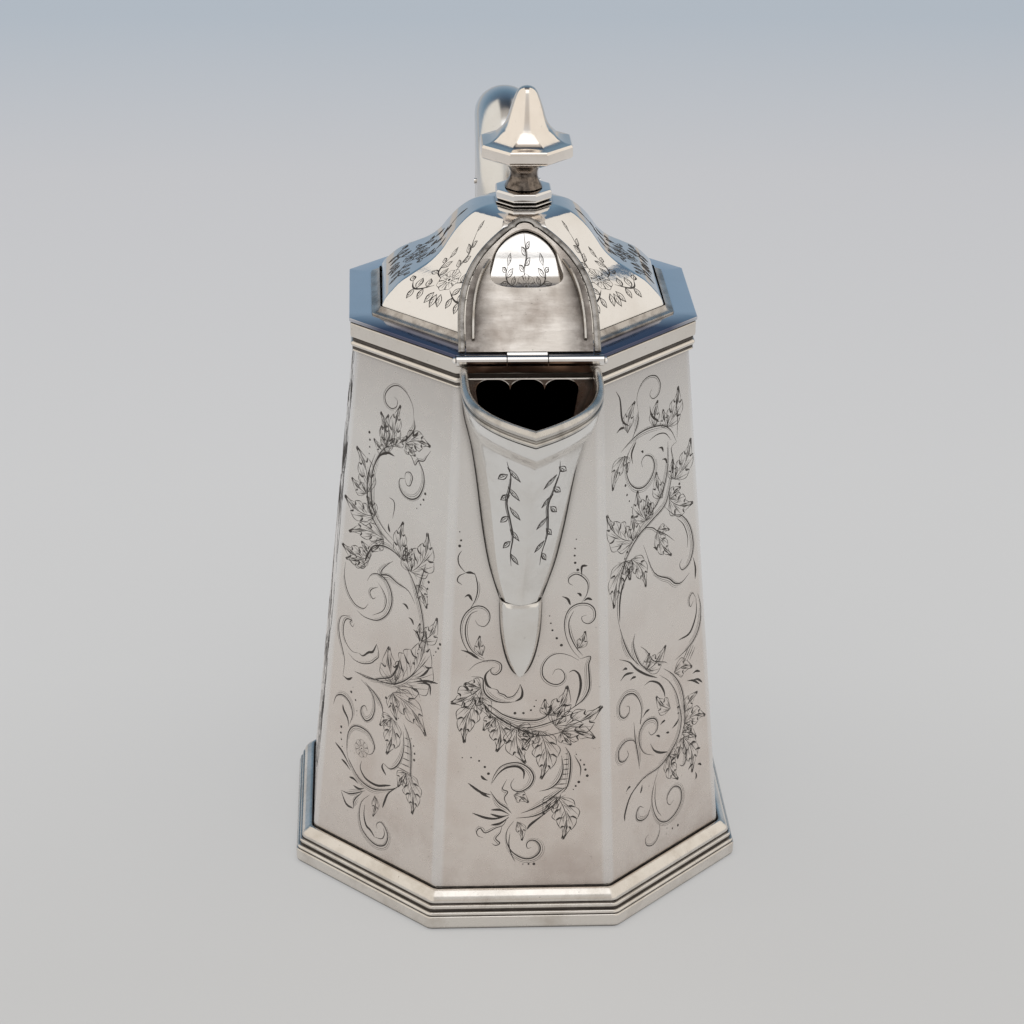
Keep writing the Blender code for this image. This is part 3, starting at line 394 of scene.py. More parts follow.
def softened(profile, cut=0.25, steps=3, closed=True):
    """A profile with each corner replaced by a short curve."""
    out = []
    count = len(profile)
    for i, point in enumerate(profile):
        if not closed and i in (0, count - 1):
            out.append(point)
            continue
        here, before, after = Vector(point), Vector(profile[i - 1]), Vector(profile[(i + 1) % count])
        back, ahead = before - here, after - here
        start = here + back * min(0.42, cut / max(back.length, 1e-6))
        end = here + ahead * min(0.42, cut / max(ahead.length, 1e-6))
        for step in range(steps + 1):
            t = step / steps
            out.append(tuple(start * (1 - t) ** 2 + here * 2 * t * (1 - t) + end * t**2))
    return out


def turned(profile, corner_radius, arc_steps=6, x_shift=0.0):
    return loft([octagon_ring(h, z, corner_radius, arc_steps, x_shift) for h, z in profile], closed=True)


def through(points, per_span=6):
    """A smooth curve through control points (Catmull-Rom), of any dimension."""
    points = [Vector(p) for p in points]
    ends = [points[0] * 2 - points[1]] + points + [points[-1] * 2 - points[-2]]
    out = []
    for i in range(1, len(ends) - 2):
        a, b, c, d = ends[i - 1 : i + 3]
        for step in range(per_span):
            t = step / per_span
            out.append(
                0.5 * (2 * b + (c - a) * t + (2 * a - 5 * b + 4 * c - d) * t * t + (3 * b - a - 3 * c + d) * t**3)
            )
    out.append(points[-1])
    return out


def slab(low, high):
    corners = ((low[0], low[1]), (high[0], low[1]), (high[0], high[1]), (low[0], high[1]))
    return loft([[(x, y, z) for x, y in corners] for z in (low[2], high[2])])


def lookup(table, x, column):
    """Cubic interpolation in a table of rows that ascend in their first column."""
    xs = [row[0] for row in table]
    ys = [row[column] for row in table]
    x = min(max(x, xs[0]), xs[-1])
    i = max(k for k in range(len(xs) - 1) if xs[k] <= x)

    def slope(k):
        low, high = max(k - 1, 0), min(k + 1, len(xs) - 1)
        return (ys[high] - ys[low]) / (xs[high] - xs[low])

    step = xs[i + 1] - xs[i]
    t = (x - xs[i]) / step
    return (
        (2 * t**3 - 3 * t**2 + 1) * ys[i]
        + (t**3 - 2 * t**2 + t) * step * slope(i)
        + (3 * t**2 - 2 * t**3) * ys[i + 1]
        + (t**3 - t**2) * step * slope(i + 1)
    )


def body_half(z):
    """Outer half-flat of the tapered body."""
    share = (z - SHELL_LOW.z) / (SHELL_HIGH.z - SHELL_LOW.z)
    return BODY_LOW_HALF + (BODY_HIGH_HALF - BODY_LOW_HALF) * share


# ---------------------------------------------------------------- foot, body and rim


def build_foot():
    out, top = FOOT_HIGH.x, FOOT_HIGH.z
    inner = body_half(0.0) + GAP
    profile = [
        (inner, 0.0), (out - 0.6, 0.0), (out, 0.8), (out, 4.2), (out - 0.35, 4.5), (out - 0.75, 4.6),
        (out - 0.4, 4.8), (out - 0.3, 5.2), (out - 0.6, 5.7), (out - 1.6, 5.85), (out - 1.65, 6.25),
        (out - 1.25, 6.5), (out - 1.1, 7.0), (out - 1.25, 7.6), (out - 2.0, 7.8), (out - 2.05, 8.05),
        (out - 1.85, 8.4), (out - 2.0, 9.2), (out - 2.6, 10.2), (out - 3.5, 10.9), (out - 4.3, top),
        (body_half(top) + GAP, top),
    ]
    piece("foot", turned(softened(profile, 0.5, 5), 3.0, 8), FOOT_SILVER, "pot", ["foot_moulding"], 40.0)
    oxide_ring("foot_line_low", out - 0.5, 4.44, 4.72)
    oxide_ring("foot_line_middle", out - 1.35, 5.9, 6.35)
    oxide_ring("foot_line_high", out - 1.82, 7.78, 8.12)


OXIDE_DEPTH = 0.45


def oxide_ring(name, half, low, high):
    """A dark line lying in a groove of a moulding."""
    profile = [(half - OXIDE_DEPTH, low), (half, low), (half, high), (half - OXIDE_DEPTH, high)]
    return piece(name, turned(profile, 1.4, 4), OXIDE, "pot")


OPENING_X, OPENING_HALF_WIDTH = -0.4, 14.6
LOBE_FOOT, LOBE_RISE = 167.3, 3.4


def lobe_point(lobe, angle):
    """A point on one of the three lobes at the top of the opening; lobe is -2, 0 or 2."""
    x = OPENING_X + OPENING_HALF_WIDTH / 3 * (lobe + math.cos(angle))
    return x, LOBE_FOOT + LOBE_RISE * abs(math.sin(angle)) ** 0.8


def spout_opening():
    """The hole behind the spout: three lobes at the top, narrowing to a round end below."""
    low, low_half_width = 124.9, 7.6
    outline = [lobe_point(lobe, math.pi * step / 14) for lobe in (2, 0, -2) for step in range(14)]
    outline.append((OPENING_X - OPENING_HALF_WIDTH, LOBE_FOOT))
    for step in range(17):
        angle = math.pi + math.pi * step / 16
        outline.append((OPENING_X + low_half_width * math.cos(angle), low + low_half_width * math.sin(angle)))
    return loft([[(x, y, z) for x, z in outline] for y in (-70.0, -30.0)])


def build_body():
    levels = [SHELL_LOW.z + (SHELL_HIGH.z - SHELL_LOW.z) * i / 12 for i in range(13)]
    rings = [octagon_ring(body_half(z), z, 3.0, 8) for z in levels]
    rings += [octagon_ring(body_half(z) - 1.4, z, 2.0, 8) for z in reversed(levels)]
    body = piece("body", loft(rings, closed=True), BODY_SILVER, "pot", ["body_shell"])
    cut_away(body, spout_opening())
    # The body's inner faces take the painted shade.
    body.data.materials.append(HOLLOW_PAINTED_SHADE)
    for face in body.data.polygons:
        if face.normal.dot(Vector((face.center.x, face.center.y, 0.0))) < 0 and abs(face.normal.z) < 0.5:
            face.material_index = 1


def build_opening_highlight():
    """A painted highlight: a strip of brighter silver along the cut edge of the three lobes, seen inside the spout."""
    sheet = ([], [])
    for lobe in (-2, 0, 2):
        stroke(sheet, [lobe_point(lobe, math.pi * step / 12) for step in range(13)], 0.5)
    lay("opening_highlight", sheet, on_body(-90.0), material=BRIGHT_SILVER)


SPOUT_GAP_HALF = 18.6


def build_rim():
    out, low = RIM_HIGH.x, RIM_LOW.z
    profile = [
        (body_half(low) + GAP, low), (out - 0.8, low), (out - 0.4, low + 0.35), (out - 0.8, low + 0.75),
        (out - 0.85, low + 1.4), (out - 0.3, low + 1.75), (out - 0.02, low + 2.4), (out - 0.3, low + 3.05),
        (out - 0.85, low + 3.35), (out - 0.9, low + 4.2), (out - 0.15, low + 4.55), (out, low + 4.9),
        (out, RIM_HIGH.z - 0.4), (out - 0.3, RIM_HIGH.z), (body_half(RIM_HIGH.z) + GAP, RIM_HIGH.z),
    ]
    spout_gap = slab((-SPOUT_GAP_HALF, -60.0, low - 1.0), (SPOUT_GAP_HALF, -40.0, low + 2.7))
    for name, start in (("rim_line_low", low + 0.74), ("rim_line_high", low + 3.38)):
        cut_away(oxide_ring(name, out - 0.62, start, start + 0.78), spout_gap, 40.0)
    rim = piece("rim", turned(softened(profile, 0.22), 1.2, 6), MOULDING_SILVER, "pot", ["rim_band"], 40.0)
    cut_away(rim, spout_gap, 40.0)


# ---------------------------------------------------------------- spout

# Rows: height, half width at the body, half width at the side ridges, how far the side ridges and
# the middle ridge stand out from the body's face, and how far the lower end dips at the middle.
SPOUT_STATIONS = [
    (105.4, 6.0, 4.6, 2.6, 3.4, 1.6),
    (110.0, 7.7, 5.8, 4.2, 6.4, 1.0),
    (117.0, 9.7, 7.4, 7.0, 11.2, 0.4),
    (128.0, 11.8, 9.0, 11.5, 18.8, 0.0),
    (140.0, 13.6, 10.5, 16.4, 27.2, 0.0),
    (151.0, 15.6, 12.1, 20.9, 35.4, 0.0),
    (162.0, 18.4, 14.3, 25.6, 43.6, 0.0),
    (172.9, 19.2, 16.9, 30.2, 51.6, 0.0),
]
SPOUT_FOOT, SPOUT_TOP = SPOUT_STATIONS[0][0], SPOUT_STATIONS[-1][0]
SPOUT_LEAN, TIP_LEAN = 1.6, 1.1
SHELL_HALF_WIDTH, SHELL_LENGTH = 19.2, 47.2
ARCH_STRAIGHT, ARCH_POWER = 8.0, 2.9
MOUTH_DROOP, SHELL_DROOP = math.radians(0.9), math.radians(2.0)


def arch_half_width(s, half_width, length):
    share = max(0.0, (s - ARCH_STRAIGHT) / (length - ARCH_STRAIGHT))
    return half_width * (1.0 - min(share, 1.0) ** ARCH_POWER)


def spout_shift(z):
    return -SPOUT_LEAN * min(max((RIM_LOW.z - z) / 60.0, 0.0), 1.0)


def spout_lean(y, z):
    rise = min(max((z - SPOUT_FOOT) / (SPOUT_TOP - SPOUT_FOOT), 0.0), 1.0)
    reach = min(max((FLAP_Y - y) / SHELL_LENGTH, 0.0), 1.0)
    return spout_shift(z) - TIP_LEAN * rise * reach**2


SIDE_STEPS, FRONT_STEPS = 8, 16


def spout_half(z, wall):
    """(x, y) points from the body round to the spout's middle ridge at a height."""
    junction = lookup(SPOUT_STATIONS, z, 1) - wall
    ridge = lookup(SPOUT_STATIONS, z, 2) - 0.9 * wall
    face = body_half(z)
    ridge_y = -(face + lookup(SPOUT_STATIONS, z, 3) - 0.8 * wall)
    middle_y = -(face + lookup(SPOUT_STATIONS, z, 4) - 1.5 * wall)
    back_y = -(face + GAP) if z < RIM_LOW.z - GAP else -(RIM_HIGH.x + GAP)
    back_y = back_y if wall == 0 else -30.0
    out = [(junction, back_y)]
    for step in range(1, SIDE_STEPS + 1):
        share = step / SIDE_STEPS
        out.append((junction + (ridge - junction) * share, back_y + (ridge_y - back_y) * share))
    for step in range(1, FRONT_STEPS + 1):
        share = step / FRONT_STEPS
        bulge = 0.06 * ridge * math.sin(math.pi * share)
        out.append((ridge * (1 - share) + bulge, ridge_y + (middle_y - ridge_y) * share))
    return out


def mouth_half(wall, back_y):
    """Points of the same count round the mouth, from the body to the tip."""
    width, length = SHELL_HALF_WIDTH - wall, SHELL_LENGTH - 1.25 * wall
    shoulder = 0.62 * length
    stops = [shoulder * step / SIDE_STEPS for step in range(1, SIDE_STEPS + 1)]
    stops += [shoulder + (length - shoulder) * step / FRONT_STEPS for step in range(1, FRONT_STEPS + 1)]
    return [(width, back_y)] + [(arch_half_width(s, width, length), FLAP_Y - s) for s in stops]


def spout_ring(z, wall):
    blend = min(max((z - 161.9) / (SPOUT_TOP - 161.9), 0.0), 1.0)
    blend = blend * blend * (3 - 2 * blend)
    faceted = spout_half(z, wall)
    mouth = mouth_half(wall, faceted[0][1])
    dip = lookup(SPOUT_STATIONS, z, 5)
    half = []
    for (fx, fy), (mx, my) in zip(faceted, mouth):
        x, y = fx + (mx - fx) * blend, fy + (my - fy) * blend
        drop = dip * (1 - (fx / faceted[0][0]) ** 2)
        if blend > 0 and y < FLAP_Y:
            drop += blend * (FLAP_Y - y) * math.tan(SHELL_DROOP)
        half.append((x, y, z - drop))
    left = [(-x + spout_lean(y, z), y, height) for x, y, height in half]
    right = [(x + spout_lean(y, z), y, height) for x, y, height in reversed(half[:-1])]
    return left + right


def build_spout():
    rows = [105.4, 106.5, 108.0, 110.0, 113.0, 116.5, 120.0, 124.0, 129.0, 134.0, 140.0, 145.5, 151.0, 155.0]
    rows += [159.0, 161.9, 163.0, 164.5, 166.0, 167.2, 167.9, 168.3, 169.3, 170.5, 171.7, 172.9]
    inner = [spout_ring(z, 1.2) for z in rows[4:]]
    above = [(x, y, z + 3.0) for x, y, z in inner[-1]]
    outer = ladder_loft([spout_ring(z, 0.0) for z in rows])
    shell = piece("spout", outer, SPOUT_SILVER, "pot", ["spout_shell"], 24.0)
    cut_away(shell, ladder_loft(inner + [above]), 24.0)
    paint_inside(shell)


def paint_inside(shell):
    """The inner faces of the spout take the dark brown inside material."""
    shell.data.materials.append(INSIDE_SILVER)
    middle = Vector((0.0, -0.06, 0.20))
    for face in shell.data.polygons:
        towards = middle - face.center
        if face.normal.dot(Vector((towards.x, towards.y, 0.0))) > 0 and abs(face.normal.z) < 0.9:
            if face.normal.y > -0.2 or abs(face.normal.x) > 0.5:
                face.material_index = 1


DROP_TOP, DROP_TIP, DROP_HALF_WIDTH = 103.2, 80.5, 6.1


def drop_half_width(share):
    return DROP_HALF_WIDTH * (1 - share**2.2) ** 0.6


def build_drop():
    """The long tongue below the spout."""
    thickness = 2.4
    section = ((-1, 0), (-0.92, 0.5), (-0.7, 1), (-0.35, 1.12), (0, 1.16), (0.35, 1.12), (0.7, 1), (0.92, 0.5), (1, 0))
    rings = []
    for step in range(25):
        share = math.sin(0.5 * math.pi * step / 24.3)
        level = DROP_TOP - (DROP_TOP - DROP_TIP) * share
        width = drop_half_width(share)
        rise = thickness * (1 - 0.45 * share)
        ring = []
        for across, height in section:
            z = level + 1.4 * (1 - share) ** 2 * across**2
            ring.append((across * width + spout_shift(z), -(body_half(z) + GAP + rise * height), z))
        rings.append(ring)
    piece("drop", ladder_loft(rings), SPOUT_SILVER, "pot", ["spout_drop"], 40.0)


def arch_path(half_width, length, start, steps):
    """Points and outward normals round the pointed arch, from the left end over the tip to the right."""
    side = []
    for step in range(steps + 1):
        s = start + (length - start) * math.sin(0.5 * math.pi * step / steps)
        x = arch_half_width(s, half_width, length)
        ahead = arch_half_width(min(s + 0.01, length), half_width, length)
        behind = arch_half_width(s - 0.01, half_width, length)
        slope = (ahead - behind) / (min(s + 0.01, length) - s + 0.01)
        size = math.hypot(1.0, slope)
        side.append((x, s, 1.0 / size, -slope / size))
    tip_half_angle = math.atan2(side[-1][2], side[-1][3])
    left = [(-x, s, -nx, ns) for x, s, nx, ns in side[:-1]]
    return left + [(0.0, length, 0.0, 1.0 / math.cos(tip_half_angle))] + side[-2::-1]


def build_lip():
    low, low_tip = 3.6, 4.5
    section = [
        (-1.6, -low), (-1.6, -0.55), (-1.2, -0.1), (-0.4, 0.0), (0.4, -0.4), (0.75, -1.1), (0.62, -1.75),
        (0.05, -2.0), (0.02, -2.45), (0.5, -2.65), (0.66, -3.0), (0.5, -3.4), (0.05, -low),
    ]
    rings = []
    for x, s, nx, ns in arch_path(SHELL_HALF_WIDTH, SHELL_LENGTH, 2.3, 36):
        ring = []
        for out, height in softened(section, 0.3):
            along = s + out * ns
            deeper = 1 + (low_tip / low - 1) * s / SHELL_LENGTH
            z = FLAP_Z - 1.1 - along * math.tan(MOUTH_DROOP) + height * deeper
            ring.append((x + out * nx - TIP_LEAN * (s / SHELL_LENGTH) ** 2, FLAP_Y - along, z))
        rings.append(ring)
    piece("lip", loft(rings), LIP_SILVER, "pot", ["spout_lip"], 40.0)


# ---------------------------------------------------------------- lid

DOME_LOW = 179.2
# The dome's profile from the step to its top: half-flat and height.
DOME = [
    (41.6, DOME_LOW), (41.3, 180.6), (40.3, 183.2), (38.3, 185.5), (35.6, 188.0), (31.5, 190.4), (27.0, 192.9),
    (23.7, 195.8), (21.6, 198.7), (19.6, 201.4), (17.2, 203.9), (14.3, 206.1), (11.0, 207.3), (7.2, 207.8),
]
FINIAL_X, CAP_X = 0.5, 1.1


def build_lid():
    edge, low, high = FLANGE_HIGH.x, FLANGE_LOW.z, FLANGE_HIGH.z
    profile = [(39.0, low), (edge, low), (edge, high), (39.0, high)]
    piece("flange", turned(softened(profile, 0.25), 0.8, 5), FLANGE_SILVER, "lid", ["lid_flange"], 40.0)
    step = [(41.7, high + 0.03), (44.1, high + 0.03), (44.0, 179.45), (43.2, 179.6), (42.4, 179.9), (41.9, 180.5)]
    step += [(41.62, 181.1), (41.6, 180.0)]
    piece("step", turned(step, 1.4, 6), STEP_SILVER, "lid", ["dome_step"], 50.0)
    outside = [tuple(p) for p in through(DOME, 3)]
    inside = [(max(h - 1.0, 2.2), z - 0.75) for h, z in outside]
    inside[0] = (DOME[0][0] - 1.0, DOME_LOW)
    profile = outside + [(2.3, DOME[-1][1])] + inside[::-1]
    piece("dome", turned(profile, 1.6, 6), DOME_SILVER, "lid", ["lid_dome"], 24.0)


def finial_piece(name, profile, radius, replaced=()):
    shape = turned(softened(profile, 0.2), radius, 5, FINIAL_X)
    piece(name, shape, BRIGHT_SILVER, "lid", replaced, 34.0)


def build_finial():
    low = DOME[-1][1] + GAP
    bead = [
        (7.2, low - 0.25), (8.0, low - 0.2), (8.3, low + 0.2), (7.6, low + 0.5), (1.8, low + 0.5),
        (1.8, low - 0.25),
    ]
    finial_piece("neck_bead", bead, 0.6)
    collar = [(1.8, low + 0.6), (7.0, low + 0.6), (7.1, low + 0.9), (7.9, low + 1.1), (8.1, low + 1.5)]
    collar += [(8.1, low + 3.2), (7.7, low + 3.7), (1.8, low + 3.7)]
    finial_piece("collar", collar, 0.5, ["finial_collar"])
    low += 4.0
    stem = [tuple(p) for p in through([(5.4, low), (4.9, low + 1.1), (4.2, low + 2.6), (3.95, low + 4.2),
                                       (4.3, low + 5.5), (5.0, low + 6.6)], 4)]
    piece("stem", turned([(1.8, low)] + stem + [(1.8, low + 6.6)], 2.2, 5, FINIAL_X), STEM_SILVER, "lid",
          ["finial_stem"], 60.0)
    build_cap(low + 6.9)


def build_cap(low):
    under = [(5.6, low), (9.0, low + 1.2), (12.9, low + 3.0), (13.3, low + 3.6), (13.2, low + 6.4), (12.8, low + 6.9)]
    hollow = through([(12.8, low + 6.9), (10.7, low + 7.4), (9.1, low + 8.4), (8.0, low + 9.6), (7.2, 229.6)], 5)
    bell = through([(7.2, 229.6), (6.2, 231.2), (5.5, 233.0), (4.8, 235.4), (3.5, 239.2), (2.6, 240.9),
                    (1.6, 241.7), (0.6, 242.0)], 4)
    rings = []
    for half, z in softened([(1.8, low)] + under, 0.35, closed=False)[:-1]:
        rings.append(octagon_ring(half, z, min(0.5, 0.3 * half), 5, CAP_X))
    for index, (half, z) in enumerate(hollow[:-1]):
        round_share = index / len(hollow)
        rings.append(octagon_ring(half, z, 0.5 + (0.9 * half - 0.5) * round_share**2, 5, CAP_X))
    for half, z in bell:
        rings.append(octagon_ring(half, z, 0.98 * half, 5, CAP_X))
    piece("cap", loft(rings), CAP_SILVER, "lid", ["finial_cap"], 34.0)


# ---------------------------------------------------------------- flap

FLAP_START, FLAP_HALF_WIDTH, FLAP_LENGTH = 2.65, 20.1, 48.4
FLAP_HALF_THICKNESS, FLAP_FRAME_WIDTH = 0.45, 1.9
FLAP_OPEN = math.radians(37.5)


def flap_half_width(s, inset=0.0):
    length = FLAP_LENGTH - 1.15 * inset
    width = arch_half_width(s, FLAP_HALF_WIDTH - inset, length + 0.9)
    tip_radius = max(3.6 - 0.8 * inset, 0.8)
    if s > length - tip_radius:
        rounded = math.sqrt(max(tip_radius**2 - (s - length + tip_radius) ** 2, 0.0))
        width = min(width, 1.35 * rounded)
    return width


def flap_outline(inset, steps=48):
    length = FLAP_LENGTH - 1.15 * inset
    stops = [FLAP_START + (length - FLAP_START) * math.sin(0.5 * math.pi * step / steps) for step in range(steps)]
    side = [(flap_half_width(s, inset), s) for s in stops]
    return [(-x, s) for x, s in side] + [(0.0, length)] + side[::-1]


def laid_back(x, s, h):
    """A point of the flap: s runs from the hinge to the tip and h is square to the plate, dome side up."""
    y = FLAP_Y + s * math.cos(FLAP_OPEN) + h * math.sin(FLAP_OPEN)
    return (x, y, FLAP_Z + s * math.sin(FLAP_OPEN) - h * math.cos(FLAP_OPEN))


def flap_slab(outline, low, high):
    return ladder_loft([[laid_back(x, s, h) for x, s in outline] for h in (low, high)])


def window_outline(steps=28):
    """The flap's opening: straight at the hinge side, widest low down, pointed at the tip."""
    start, widest, end, half = 23.8, 28.8, 43.8, 10.5
    right = []
    for step in range(1, steps + 1):
        share = math.sin(0.5 * math.pi * step / steps)
        right.append((half * (1 - share**3) ** (1 / 3), widest - (widest - start) * share))
    right = [(0.6 * half, start)] + right[:-1][::-1] + [(half, widest)]
    for step in range(1, steps):
        share = math.sin(0.5 * math.pi * step / steps)
        right.append((half * (1 - share**2) ** 0.6, widest + (end - widest) * share))
    return [(-x, s) for x, s in right] + [(0.0, end)] + right[::-1]


def build_flap():
    half = FLAP_HALF_THICKNESS
    outline = flap_outline(FLAP_FRAME_WIDTH + GAP)
    sheet = flap_slab(outline, -half, half)
    plate = piece("flap_sheet", sheet, FLAP_SILVER, "flap", ["flap_plate"], 40.0)
    cut_away(plate, flap_slab(window_outline(), -3.0, 3.0), 40.0)
    outer, inner = flap_outline(0.0), flap_outline(FLAP_FRAME_WIDTH)
    section = softened([(0.0, -0.3), (0.0, 0.1), (0.25, half), (1.0, half), (1.0, -0.75), (0.3, -0.75)], 0.2)
    rings = []
    for (ox, os), (ix, i_s) in zip(outer, inner):
        rings.append([laid_back(ox + (ix - ox) * u, os + (i_s - os) * u, h) for u, h in section])
    piece("flap_border", loft(rings), FRAME_SILVER, "flap", ["flap_frame"], 40.0)


# ---------------------------------------------------------------- handle

# Rows along the middle line: y, z, half width across and half thickness. Runs are measured in rows.
HANDLE_LINE = [
    (51.0, 152.9, 8.0, 9.5), (57.5, 156.0, 7.6, 8.2), (65.0, 162.0, 8.2, 7.8), (71.5, 171.0, 9.2, 8.4),
    (75.5, 180.5, 9.9, 8.9), (78.5, 190.0, 10.1, 9.3), (84.0, 199.0, 10.1, 9.5), (94.0, 204.6, 10.0, 9.5),
    (105.0, 202.2, 9.6, 9.2), (113.5, 193.5, 9.1, 8.9), (118.5, 179.5, 8.7, 8.6), (120.0, 160.0, 8.5, 8.4),
    (118.5, 138.0, 8.3, 8.2), (113.5, 115.5, 8.1, 8.0), (105.5, 94.5, 7.8, 7.7), (95.0, 77.0, 7.4, 7.2),
    (84.0, 65.0, 7.0, 6.8), (74.0, 57.5, 6.8, 7.2), (62.6, 53.5, 7.6, 9.2),
]
HANDLE_TABLE = [(float(i), *row) for i, row in enumerate(HANDLE_LINE)]
HANDLE_SIDES = 48
UPPER_SOCKET_RUN, GRIP_RUN, LOWER_SOCKET_RUN = (0.35, 3.465), (3.985, 15.465), (15.935, 17.6)
LAST_ROW = len(HANDLE_LINE) - 1.0


def handle_section(t):
    y, z, across, thick = (lookup(HANDLE_TABLE, t, column) for column in (1, 2, 3, 4))
    ahead, behind = min(t + 0.02, LAST_ROW), max(t - 0.02, 0.0)
    dy = lookup(HANDLE_TABLE, ahead, 1) - lookup(HANDLE_TABLE, behind, 1)
    dz = lookup(HANDLE_TABLE, ahead, 2) - lookup(HANDLE_TABLE, behind, 2)
    size = math.hypot(dy, dz)
    ring = []
    for i in range(HANDLE_SIDES):
        angle = 2 * math.pi * i / HANDLE_SIDES
        out = thick * math.sin(angle)
        ring.append((across * math.cos(angle), y - dz / size * out, z + dy / size * out))
    return ring


def root_ring(t):
    """The handle's end laid flat on the body's back."""
    z, across, thick = (lookup(HANDLE_TABLE, t, column) for column in (2, 3, 4))
    direction = 1.0 if t < 1 else -1.0
    ring = []
    for i in range(HANDLE_SIDES):
        angle = 2 * math.pi * i / HANDLE_SIDES
        height = z + direction * thick * math.sin(angle)
        ring.append((across * math.cos(angle), body_half(height) + GAP, height))
    return ring


def handle_run(start, end, steps):
    return [handle_section(start + (end - start) * i / steps) for i in range(steps + 1)]


def build_handle():
    upper = [root_ring(0.0)] + handle_run(*UPPER_SOCKET_RUN, 24)
    lower = handle_run(*LOWER_SOCKET_RUN, 16) + [root_ring(LAST_ROW)]
    piece("upper_socket", loft(upper), HANDLE_SILVER, "pot", ["handle_upper_socket"], 50.0)
    piece("grip", loft(handle_run(*GRIP_RUN, 96)), HANDLE_SILVER, "pot", ["handle_grip"], 50.0)
    piece("lower_socket", loft(lower), HANDLE_SILVER, "pot", ["handle_lower_socket"], 50.0)


# ---------------------------------------------------------------- engraving

# Strokes are cut on a flat sheet: x across and z up, in millimetres. The first letter of a line is
# its pen: s scroll line, m broader line, t thick accent, d dots that grow, e dots that shrink,
# f flower (centre, then a point of its rim), l leaf (base, tip, then half width and bend, lobes).

